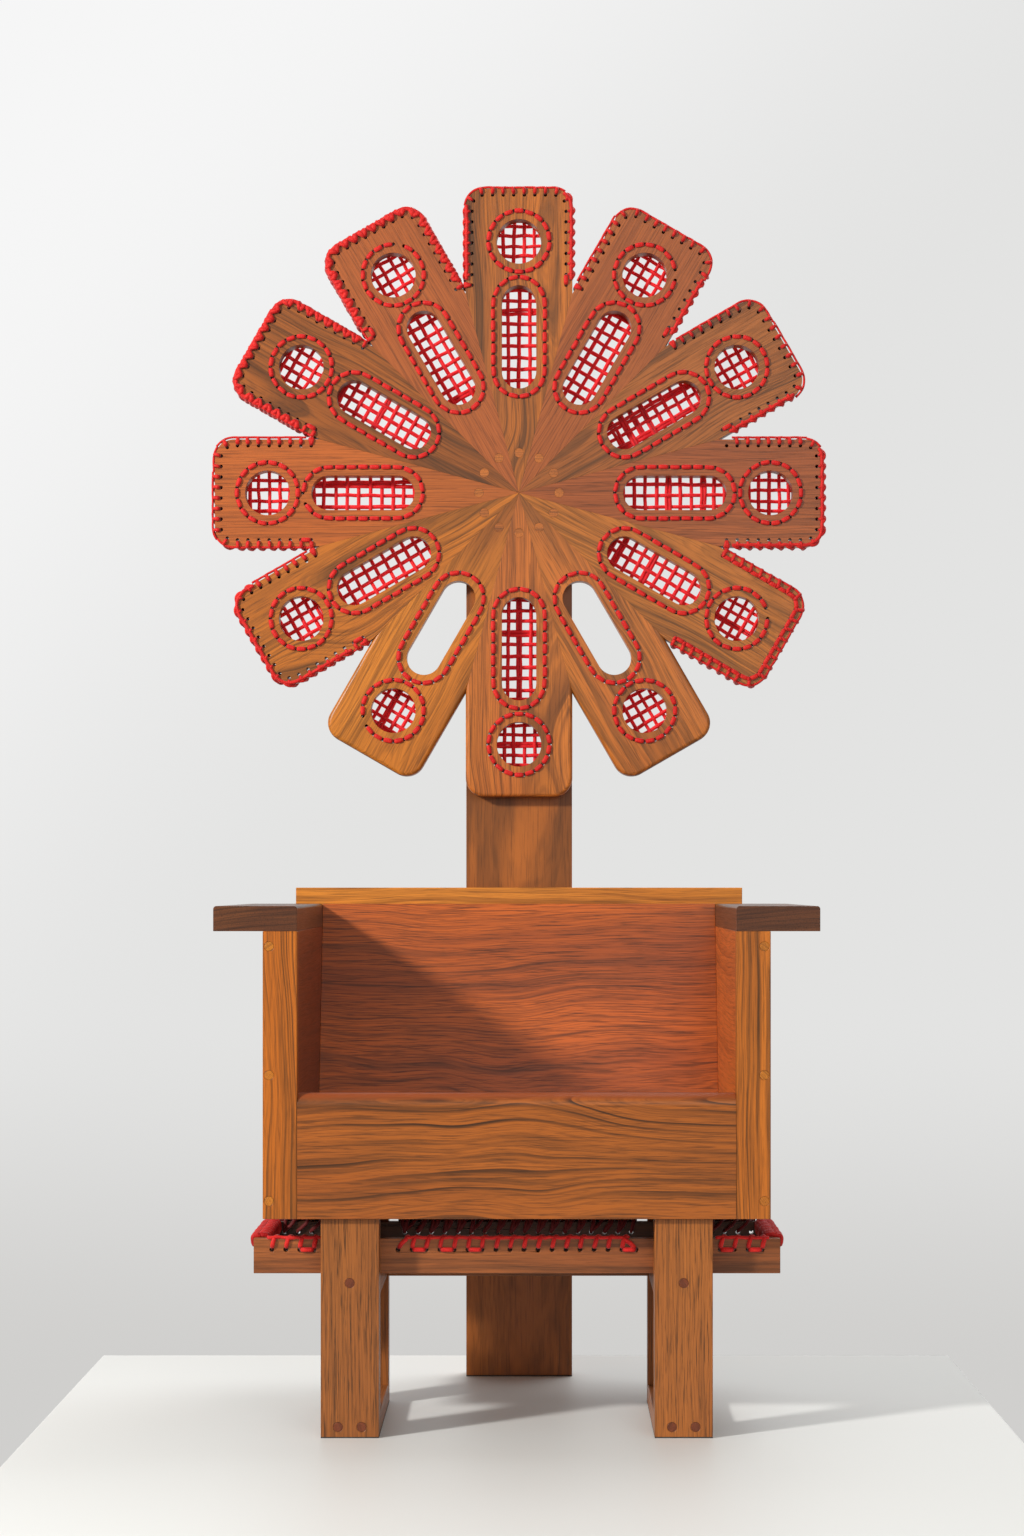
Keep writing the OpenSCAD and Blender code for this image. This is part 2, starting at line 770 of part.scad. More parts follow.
side_rail(1);  // right_side_rail
cross_stretcher();
leg_pegs();
foot_pads();
tray_long(tray_front_d);  // tray_front
tray_long(tray_back_d - tray_t);  // tray_back
tray_side(-1);  // tray_left
tray_side(1);  // tray_right
tray_lacing();
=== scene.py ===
"""The peacock chair, dressed: varnished wood on the CAD pieces, and red cord in the place
of the solids that stand for its nets, stitches and lacing. Named sizes are in millimetres
and places in the scene in metres, unless it says otherwise. Left and right are the
viewer's."""
import math
import random

import bpy
import numpy as np
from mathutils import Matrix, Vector


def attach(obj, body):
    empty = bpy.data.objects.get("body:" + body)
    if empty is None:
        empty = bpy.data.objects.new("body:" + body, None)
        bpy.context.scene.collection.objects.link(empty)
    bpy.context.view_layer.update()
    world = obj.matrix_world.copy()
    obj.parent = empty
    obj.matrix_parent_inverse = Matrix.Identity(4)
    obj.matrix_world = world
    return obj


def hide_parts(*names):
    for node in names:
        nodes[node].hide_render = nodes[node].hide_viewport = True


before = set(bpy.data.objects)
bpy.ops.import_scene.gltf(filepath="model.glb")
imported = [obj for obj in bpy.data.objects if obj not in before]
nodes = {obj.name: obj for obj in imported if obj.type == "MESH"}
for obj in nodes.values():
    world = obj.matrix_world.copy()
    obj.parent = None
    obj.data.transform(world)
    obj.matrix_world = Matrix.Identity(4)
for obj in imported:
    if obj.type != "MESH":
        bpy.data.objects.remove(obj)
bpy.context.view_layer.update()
scene = bpy.context.scene

# ---------------------------------------------------------------- camera
# The photograph is 1024 x 1536, with its horizon at row 885 and its vanishing point at
# column 538, which lie this far from its middle. The camera stands 3.9 m in front of the
# seat box.
PHOTO_HIGH = 1536
VANISH_RIGHT, HORIZON_DOWN = 26, 117
camera_data = bpy.data.cameras.new("camera")
camera_data.lens = 72
camera_data.sensor_width = 36
camera_data.shift_x = -VANISH_RIGHT / PHOTO_HIGH
camera_data.shift_y = HORIZON_DOWN / PHOTO_HIGH
camera = bpy.data.objects.new("camera", camera_data)
camera.location = (0.027, -4.169, 0.7037)
camera.rotation_euler = (math.pi / 2, 0, 0)
scene.collection.objects.link(camera)
scene.camera = camera

# ---------------------------------------------------------------- sizes, in millimetres
DEPTH0 = -269.0            # Y of the seat box's front face
HOURS = range(1, 13)       # the petals are named by the hours of a clock
HOUR_TURN = 30             # degrees from petal to petal
# The fan: the height of its middle, and how far its back lies behind the box's front
FAN_Z, FAN_BACK = 1262.0, 500.0
FAN_R, PETAL_W, PETAL_T = 433.0, 152.0, 27.0
TIP_R = 27.0
HALF_W = PETAL_W / 2
HALF_WEDGE = math.radians(HOUR_TURN / 2)
NOTCH_AT = HALF_W / math.tan(HALF_WEDGE)
# The openings, by their places along the petal, and the rings of holes round them
ROUND_AT, ROUND_D = 358.0, 63.5
SLOT_AT, SLOT_W, SLOT_L = 222.0, 49.0, 147.0
RING_GAP, ROUND_HOLES, SLOT_HOLES = 12.2, 18, 26
NETTED_SLOTS = (1, 2, 3, 4, 6, 8, 9, 10, 11, 12)
# The row of holes along a petal's edge
EDGE_INSET, EDGE_PITCH = 9.0, 15.3
# The tray: how far it lies behind the box's front, and half its width
TRAY_FRONT, TRAY_DEPTH, TRAY_T = 48.0, 212.0, 14.0
TRAY_HALF, TRAY_TOP, TRAY_INSET, TRAY_PITCH = 338.5, 249.2, 14.0, 18.0
TRAY_ROW = TRAY_TOP - TRAY_INSET
# The inner and outer faces of the legs, from the middle of the chair
LEG_IN, LEG_OUT = 175.5, 249.5


def petal_angle(hour):
    return math.radians(90 - HOUR_TURN * hour)


def petal_to_world(hour, pts):
    """Petal frame in mm (X out along the petal, Z towards the sitter) to metres."""
    p = np.asarray(pts, float).reshape(-1, 3)
    a = petal_angle(hour)
    x = p[:, 0] * math.cos(a) - p[:, 1] * math.sin(a)
    z = p[:, 0] * math.sin(a) + p[:, 1] * math.cos(a)
    y = DEPTH0 + FAN_BACK - p[:, 2]
    return np.stack([x, y, z + FAN_Z], 1) / 1000


def round_ring(i):
    """The place of hole i round the round opening."""
    a = 2 * math.pi / ROUND_HOLES * (i + 0.5)
    r = ROUND_D / 2 + RING_GAP
    return np.array([ROUND_AT + r * math.cos(a), r * math.sin(a)])


def slot_ring(i):
    """The place of hole i round the long opening, counted from its outer end."""
    i %= SLOT_HOLES
    r = SLOT_W / 2 + RING_GAP
    run = SLOT_L - SLOT_W
    half_bend = math.pi * r / 2
    total = 2 * run + 4 * half_bend
    s = total * i / SLOT_HOLES
    m = min(s, total - s)
    if m < half_bend:
        x, y = run / 2 + r * math.cos(m / r), r * math.sin(m / r)
    elif m < half_bend + run:
        x, y = run / 2 - (m - half_bend), r
    else:
        t = (m - half_bend - run) / r
        x, y = -run / 2 - r * math.sin(t), r * math.cos(t)
    return np.array([SLOT_AT + x, y if s <= total / 2 else -y])


# Half of the row of edge holes: along the tip, round the corner and down the side
CORNER_R = TIP_R - EDGE_INSET
ROW_TIP = HALF_W - TIP_R
ROW_CORNER = math.pi / 2 * CORNER_R
ROW_SIDE = FAN_R - TIP_R - NOTCH_AT - EDGE_INSET / 2
ROW_HALF = ROW_TIP + ROW_CORNER + ROW_SIDE
EDGE_HOLES = 2 * int(ROW_HALF / EDGE_PITCH + 0.5)


def edge_point(s):
    """Place and outward angle on the row of edge holes, s mm from the middle of the tip."""
    m = abs(s)
    if m < ROW_TIP:
        x, y, a = FAN_R - EDGE_INSET, m, 0.0
    elif m < ROW_TIP + ROW_CORNER:
        a = (m - ROW_TIP) / CORNER_R
        x, y = FAN_R - TIP_R + CORNER_R * math.cos(a), ROW_TIP + CORNER_R * math.sin(a)
    else:
        x, y, a = FAN_R - TIP_R - (m - ROW_TIP - ROW_CORNER), HALF_W - EDGE_INSET, math.pi / 2
    return (x, y, a) if s >= 0 else (x, -y, -a)


def hole_s(i):
    """The place of edge hole i along the row."""
    return ROW_HALF * (2 * (i + 0.5) / EDGE_HOLES - 1)


PAST_ROW = 4.0             # how far the cord may pass the last edge hole
NOTCH_GAP, LEAST_ROOM = 0.6, 0.2


def petal_edge_frame(hour):
    """(s along the edge, off outwards from the hole row, z out of the front face) to metres.
    Near a notch the cord keeps clear of the next petal's."""
    end = ROW_HALF + PAST_ROW

    def to_world(pts):
        out = []
        for s, off, z in pts:
            x, y, a = edge_point(max(-end, min(end, s)))
            room = (ROW_HALF + EDGE_INSET / 2 - abs(s)) * math.tan(HALF_WEDGE) - NOTCH_GAP
            off = min(off, EDGE_INSET + max(LEAST_ROOM, room))
            out.append((x + off * math.cos(a), y + off * math.sin(a), PETAL_T + z))
        return petal_to_world(hour, out)

    return to_world


def tray_frame(kind):
    """The same for a tray board: front, back, left or right."""

    def to_world(pts):
        p = np.asarray(pts, float)
        s, up, z = p[:, 0], TRAY_ROW + p[:, 1], p[:, 2]
        mid = DEPTH0 + TRAY_FRONT + TRAY_DEPTH / 2
        if kind == "front":
            q = np.stack([s, DEPTH0 + TRAY_FRONT - z, up], 1)
        elif kind == "back":
            q = np.stack([-s, DEPTH0 + TRAY_FRONT + TRAY_DEPTH + z, up], 1)
        elif kind == "left":
            q = np.stack([-TRAY_HALF - z, mid - s, up], 1)
        else:
            q = np.stack([TRAY_HALF + z, mid + s, up], 1)
        return q / 1000

    return to_world


# ---------------------------------------------------------------- materials
def lin(rgb):
    """An sRGB colour of 0 to 255 as linear RGBA."""
    out = []
    for c in rgb:
        c /= 255
        out.append(c / 12.92 if c <= 0.04045 else ((c + 0.055) / 1.055) ** 2.4)
    return (*out, 1.0)


class Tree:
    """A short way to write the nodes of a material or of the world."""

    def __init__(self, owner):
        owner.use_nodes = True
        self.owner = owner
        self.nt = owner.node_tree
        self.shader = self.nt.nodes.get("Principled BSDF")

    def put(self, socket, value):
        if isinstance(value, bpy.types.NodeSocket):
            self.nt.links.new(value, socket)
        elif value is not None:
            socket.default_value = value

    def math(self, op, a, b=None, c=None):
        n = self.nt.nodes.new("ShaderNodeMath")
        n.operation = op
        for k, v in enumerate((a, b, c)):
            self.put(n.inputs[k], v)
        return n.outputs[0]

    def attribute(self, name):
        n = self.nt.nodes.new("ShaderNodeAttribute")
        n.attribute_name = name
        return n.outputs

    def dot(self, a, vec):
        n = self.nt.nodes.new("ShaderNodeVectorMath")
        n.operation = "DOT_PRODUCT"
        self.put(n.inputs[0], a)
        n.inputs[1].default_value = vec
        return n.outputs["Value"]

    def xyz(self, x, y, z):
        n = self.nt.nodes.new("ShaderNodeCombineXYZ")
        for k, v in enumerate((x, y, z)):
            self.put(n.inputs[k], v)
        return n.outputs[0]

    def coordinates(self):
        return self.nt.nodes.new("ShaderNodeTexCoord").outputs

    def scaled(self, vec, factor):
        n = self.nt.nodes.new("ShaderNodeVectorMath")
        n.operation = "SCALE"
        self.put(n.inputs[0], vec)
        n.inputs["Scale"].default_value = factor
        return n.outputs[0]

    def noise(self, vec, detail=2.0, rough=0.5):
        n = self.nt.nodes.new("ShaderNodeTexNoise")
        self.put(n.inputs["Vector"], vec)
        n.inputs["Scale"].default_value = 1.0
        n.inputs["Detail"].default_value = detail
        n.inputs["Roughness"].default_value = rough
        return n.outputs["Fac"]

    def ramp(self, value, low, high):
        """0 below low, 1 above high, smooth between."""
        n = self.nt.nodes.new("ShaderNodeMapRange")
        n.interpolation_type = "SMOOTHSTEP"
        self.put(n.inputs["Value"], value)
        n.inputs["From Min"].default_value = low
        n.inputs["From Max"].default_value = high
        return n.outputs["Result"]

    def mix(self, fac, a, b, mode="MIX"):
        n = self.nt.nodes.new("ShaderNodeMix")
        n.data_type, n.blend_type = "RGBA", mode
        self.put(n.inputs["Factor"], fac)
        self.put(n.inputs["A"], a)
        self.put(n.inputs["B"], b)
        return n.outputs["Result"]

    def bump(self, height, distance, strength=1.0, normal=None):
        n = self.nt.nodes.new("ShaderNodeBump")
        n.inputs["Strength"].default_value = strength
        n.inputs["Distance"].default_value = distance
        self.put(n.inputs["Height"], height)
        self.put(n.inputs["Normal"], normal)
        self.put(self.shader.inputs["Normal"], n.outputs["Normal"])

    def finish(self, **settings):
        """Sets numbers on the shader's sockets, as Coat_Weight=0.1, and gives the material."""
        for socket, value in settings.items():
            self.shader.inputs[socket.replace("_", " ")].default_value = value
        return self.owner


def material_tree(name):
    return Tree(bpy.data.materials.new(name))


VARNISH = (0.97, 0.84, 0.51, 1)   # the amber tint that the varnish lays over the wood


def wood(name, along, across, tone, light, dark, seed, pith=(0.0, -0.09), ring=0.0075,
         wander=0.006, streaks=0.5, flame=0.35, lines=0.55, veins=0.4, rare=0.0, fibre=0.4,
         pores=0.4, rough=0.4, end=(0.55, 0.5, 0.48), top=None, hub=None, ease=0.0):
    """Varnished hardwood. along is the grain, across lies in the board's face. tone and light
    lie side by side in broad patches, and dark is the colour of the streaks.
    pith is where the tree's middle lies, across and towards the face, from the origin. ring
    is about the width of a year, and wander how far the pith strays along the grain.
    streaks, flame, lines, veins, fibre and pores are the strengths of the dark layers, from
    broad to fine. rare leaves out some of the veins.
    end tints the cut ends, and top is a colour painted on what faces up: painted shade and a
    painted reddish reflection, for how the light falls on faces that look up. hub is a place
    along the grain and the tone that the board has up to it. ease is how many mm the shader
    rounds the edges by."""
    t = material_tree(name)
    e1, e2 = Vector(along).normalized(), Vector(across).normalized()
    coord = t.coordinates()
    pos = coord["Object"]
    rnd = random.Random(seed)
    shift = [rnd.uniform(3, 9) for _ in range(3)]
    u = t.math("ADD", t.dot(pos, e1), shift[0])
    v = t.dot(pos, e2)
    w = t.dot(pos, e1.cross(e2))
    vs, ws = t.math("ADD", v, shift[1]), t.math("ADD", w, shift[2])

    def stretched(along_scale, across_scale):
        return t.xyz(t.math("MULTIPLY", u, along_scale), t.math("MULTIPLY", vs, across_scale),
                     t.math("MULTIPLY", ws, across_scale))

    # the distance to a pith that wanders along the grain
    bend = t.math("SUBTRACT", t.noise(stretched(2.4, 4.0), 2.0), 0.5)
    swirl = t.math("SUBTRACT", t.noise(stretched(6.0, 15.0), 1.0), 0.5)
    warp = t.math("MULTIPLY_ADD", bend, wander * 6, t.math("MULTIPLY", swirl, wander * 1.1))
    dv = t.math("SUBTRACT", t.math("ADD", warp, v), pith[0])
    dw = t.math("SUBTRACT", t.math("MULTIPLY_ADD", bend, wander * 2, w), pith[1])
    radius = t.math("SQRT", t.math("ADD", t.math("MULTIPLY", dv, dv), t.math("MULTIPLY", dw, dw)))
    radius = t.math("ADD", radius, shift[2])

    def grain(along_scale, per_ring, detail, roughness=0.55):
        return t.noise(t.xyz(t.math("MULTIPLY", u, along_scale),
                             t.math("MULTIPLY", radius, per_ring / ring),
                             t.math("MULTIPLY", vs, along_scale * 2)), detail, roughness)

    bands = grain(1.4, 0.8, 4.0, 0.62)
    rings = grain(2.5, 2.8, 2.0, 0.6)
    fine = grain(12.0, 8.0, 2.0, 0.65)
    pore = t.noise(stretched(16.0, 480.0), 3.0, 0.7)
    broad = t.noise(stretched(1.4, 7.0), 2.0)
    # veins: each year's line darkens slowly, ends sharply, and fades in and out along the board
    year = t.math("MULTIPLY_ADD", grain(0.7, 0.3, 1.0), 3.2, t.math("MULTIPLY", radius, 1 / ring))
    cell = t.math("FLOOR", year)
    part = t.math("SUBTRACT", year, cell)
    weight = t.noise(t.xyz(t.math("MULTIPLY", u, 3.0), t.math("MULTIPLY", cell, 7.3),
                           t.math("MULTIPLY", vs, 2.0)), 2.0)
    line = t.math("MULTIPLY", t.ramp(part, 0.62, 0.94), t.ramp(part, 1.0, 0.965))
    vein = t.math("MULTIPLY", line, t.ramp(weight, 0.3 + rare, 0.6 + rare))

    colour = t.mix(t.ramp(broad, 0.35, 0.65), lin(tone), lin(light))
    if hub:
        start, hub_tone = hub
        along_board = t.dot(pos, e1)
        colour = t.mix(t.ramp(along_board, start + 0.05, start + 0.24), lin(hub_tone), colour)
    layers = [
        # where it lies, its strength, its colour, and how much of that colour's light is left
        (t.ramp(bands, 0.48, 0.28), 0.6, light, 1.0),
        (t.ramp(bands, 0.5, 0.66), streaks, dark, 1.0),
        (t.ramp(bands, 0.62, 0.76), flame, dark, 0.7),
        (t.ramp(rings, 0.48, 0.72), lines, dark, 1.0),
        (vein, veins, dark, 0.8),
        (t.ramp(fine, 0.42, 0.72), fibre, dark, 0.75),
        (t.ramp(pore, 0.5, 0.66), pores, dark, 0.6),
    ]
    for where, strength, shade, left in layers:
        colour = t.mix(t.math("MULTIPLY", where, strength), colour, lin([c * left for c in shade]))
    colour = t.mix(1.0, colour, VARNISH, "MULTIPLY")
    # painted shade and reflection: faces that look up take the top colour, darker and redder
    if top:
        up = t.dot(coord["Normal"], (0, 0, 1))
        colour = t.mix(t.ramp(up, 0.25, 0.9), colour, lin(top))
    # cut ends drink more varnish
    facing = t.math("ABSOLUTE", t.dot(coord["Normal"], e1))
    colour = t.mix(t.ramp(facing, 0.75, 0.95), colour, t.mix(1.0, colour, (*end, 1), "MULTIPLY"))
    t.put(t.shader.inputs["Base Color"], colour)
    t.put(t.shader.inputs["Roughness"], t.math("MULTIPLY_ADD", fine, 0.16, rough - 0.08))
    rounded = None
    if ease:
        n = t.nt.nodes.new("ShaderNodeBevel")
        n.samples = 4
        n.inputs["Radius"].default_value = ease / 1000
        rounded = n.outputs[0]
    sunk = t.math("MULTIPLY", t.ramp(pore, 0.5, 0.68), -0.7)
    t.bump(t.math("ADD", t.math("MULTIPLY", fine, -0.5), sunk), 0.00012, 0.5, rounded)
    return t.finish(Specular_IOR_Level=0.32, Coat_Weight=0.08, Coat_Roughness=0.22)


def cord_material(name, tone, deep, glow=0.0):
    """Soft red cord. The mesh carries how far along the cord a point is, its side, and its painted
    shade, which darkens the colour where the cord dives into a hole. glow is how much of the
    light from behind comes through it."""
    t = material_tree(name)
    sep = t.nt.nodes.new("ShaderNodeSeparateXYZ")
    t.put(sep.inputs[0], t.attribute("lay")["Vector"])
    run, c, s = sep.outputs
    # the braid's ridges wind round the cord both ways: sin(k + 2a) and sin(k - 2a)
    c2 = t.math("SUBTRACT", t.math("MULTIPLY", c, c), t.math("MULTIPLY", s, s))
    s2 = t.math("MULTIPLY", t.math("MULTIPLY", s, c), 2.0)
    k = t.math("MULTIPLY", run, 2.4)
    a = t.math("MULTIPLY", t.math("SINE", k), c2)
    b = t.math("MULTIPLY", t.math("COSINE", k), s2)
    braid = t.math("MAXIMUM", t.math("ADD", a, b), t.math("SUBTRACT", a, b))
    fuzz = t.noise(t.scaled(t.coordinates()["Object"], 900.0), 2.0, 0.7)
    patch = t.noise(t.xyz(t.math("MULTIPLY", run, 0.09), c, s), 2.0)
    colour = t.mix(t.ramp(patch, 0.3, 0.7), lin(deep), lin(tone))
    # painted shade: the grooves between the braid's ridges are darkened towards the deep colour
    colour = t.mix(t.math("MULTIPLY", t.ramp(braid, 0.35, -0.7), 0.45), colour, lin(deep))
    colour = t.mix(t.math("MULTIPLY", t.ramp(fuzz, 0.5, 0.8), 0.25), colour,
                   lin([min(255, v * 1.25 + 14) for v in tone]))
    # painted shade: where the cord dives into a hole, its colour goes to a dark maroon
    colour = t.mix(t.attribute("shade")["Fac"], lin((40, 2, 6)), colour)
    t.put(t.shader.inputs["Base Color"], colour)
    t.bump(t.math("MULTIPLY_ADD", fuzz, 0.5, t.math("MULTIPLY", braid, 0.5)), 0.0003, 0.6)
    if glow:
        t.finish(Subsurface_Weight=glow, Subsurface_Radius=(1.0, 0.12, 0.14),
                 Subsurface_Scale=0.006)
    return t.finish(Roughness=0.62, Specular_IOR_Level=0.3, Sheen_Weight=0.25,
                    Sheen_Roughness=0.4)


def felt_material():
    t = material_tree("felt")
    fuzz = t.noise(t.scaled(t.coordinates()["Object"], 1400.0), 3.0, 0.7)
    t.put(t.shader.inputs["Base Color"], t.mix(fuzz, lin((38, 34, 32)), lin((74, 68, 62))))
    t.bump(fuzz, 0.0004)
    return t.finish(Roughness=0.95)


def stage_material(name, colour, rough):
    return material_tree(name).finish(Base_Color=lin(colour), Roughness=rough,
                                      Specular_IOR_Level=0.9)


# ---------------------------------------------------------------- the wooden pieces
def smooth_group():
    """Merges the split vertices of an imported solid and shades it smooth."""
    g = bpy.data.node_groups.new("merge_and_smooth", "GeometryNodeTree")
    g.interface.new_socket("Geometry", in_out="INPUT", socket_type="NodeSocketGeometry")
    g.interface.new_socket("Geometry", in_out="OUTPUT", socket_type="NodeSocketGeometry")
    a, b = g.nodes.new("NodeGroupInput"), g.nodes.new("NodeGroupOutput")
    merge = g.nodes.new("GeometryNodeMergeByDistance")
    merge.inputs["Distance"].default_value = 0.00001
    drop = g.nodes.new("GeometryNodeRemoveAttribute")
    drop.inputs["Name"].default_value = "custom_normal"
    shade = g.nodes.new("GeometryNodeSetShadeSmooth")
    g.links.new(a.outputs[0], drop.inputs["Geometry"])
    g.links.new(drop.outputs[0], merge.inputs["Geometry"])
    g.links.new(merge.outputs[0], shade.inputs["Geometry"])
    g.links.new(shade.outputs[0], b.inputs[0])
    return g


SMOOTH = smooth_group()


def dress(name, material, width=0.8):
    """Gives a CAD node its material and eased edges. A petal's many holes leave no room to
    bevel its faces, so its material rounds the edges and width is 0."""
    o = nodes[name]
    o.data.materials.clear()
    o.data.materials.append(material)
    m = o.modifiers.new("merge", "NODES")
    m.node_group = SMOOTH
    if not width:
        o.modifiers.new("sharp_edges", "EDGE_SPLIT").split_angle = math.radians(30)
        return
    d = o.modifiers.new("whole_faces", "DECIMATE")
    d.decimate_type = "DISSOLVE"
    d.angle_limit = math.radians(0.5)
    b = o.modifiers.new("eased_edges", "BEVEL")
    b.width = width / 1000
    b.segments = 2
    b.limit_method = "ANGLE"
    b.angle_limit = math.radians(38)
    b.use_clamp_overlap = False
    b.miter_outer = "MITER_ARC"
    o.modifiers.new("even_normals", "WEIGHTED_NORMAL").weight = 60


# The twelve petals. The pith's places are metres from the middle of the wheel.
PETALS = {
    # tone, light, dark, pith across, pith behind, ring, lines, streaks, flame, wander
    12: ((166, 101, 54), (196, 118, 52), (88, 59, 40), -0.05, -0.05, 0.0085, 0.60, 0.75, 0.60, 0.016),
    1: ((166, 94, 56), (178, 104, 60), (112, 64, 42), 0.16, -0.10, 0.0050, 0.30, 0.35, 0.10, 0.004),
    2: ((156, 94, 52), (172, 106, 58), (86, 58, 38), 0.03, -0.06, 0.0090, 0.55, 0.65, 0.45, 0.015),
    3: ((162, 90, 56), (172, 98, 60), (104, 60, 40), -0.15, -0.12, 0.0048, 0.35, 0.40, 0.12, 0.005),
    4: ((178, 111, 55), (192, 121, 57), (102, 69, 40), 0.06, -0.07, 0.0088, 0.55, 0.60, 0.35, 0.014),
    5: ((194, 117, 61), (208, 130, 64), (104, 70, 45), -0.02, -0.06, 0.0100, 0.50, 0.65, 0.50, 0.020),
    6: ((192, 113, 61), (210, 130, 65), (106, 66, 45), 0.05, -0.05, 0.0075, 0.55, 0.55, 0.35, 0.018),
    7: ((195, 121, 52), (212, 137, 60), (126, 80, 36), 0.02, -0.07, 0.0085, 0.50, 0.50, 0.20, 0.015),
    8: ((176, 107, 50), (196, 121, 52), (96, 65, 40), -0.03, -0.06, 0.0090, 0.60, 0.60, 0.45, 0.020),
    9: ((186, 104, 56), (198, 112, 60), (132, 74, 44), 0.18, -0.12, 0.0044, 0.35, 0.40, 0.05, 0.003),
    10: ((144, 86, 46), (164, 98, 50), (76, 52, 36), 0.04, -0.06, 0.0085, 0.65, 0.75, 0.55, 0.015),
    11: ((166, 94, 58), (176, 100, 60), (112, 66, 44), -0.17, -0.11, 0.0046, 0.30, 0.35, 0.08, 0.004),
}
# Two petals are browner near the middle of the wheel.
HUBS = {7: (160, 97, 50), 9: (178, 102, 56)}
FAN_CENTRE = Vector((0, 0, FAN_Z / 1000))
FAN_Y = 0.215              # metres, about the middle of the petals' thickness
for hour, petal in PETALS.items():
    tone, light, dark, pith_across, pith_behind, ring, lines, streaks, flame, wander = petal
    name = f"petal_{hour:02d}"
    a = petal_angle(hour)
    out, side = Vector((math.cos(a), 0, math.sin(a))), Vector((-math.sin(a), 0, math.cos(a)))
    mat = wood("wood_" + name, out, side, tone, light, dark, 100 + hour,
               pith=(pith_across + FAN_CENTRE.dot(side), pith_behind - FAN_Y), ring=ring,
               lines=lines, streaks=streaks, flame=flame, wander=wander, veins=lines, pores=0.5,
               hub=(FAN_CENTRE.dot(out), HUBS[hour]) if hour in HUBS else None, ease=0.9)
    dress(name, mat, 0)

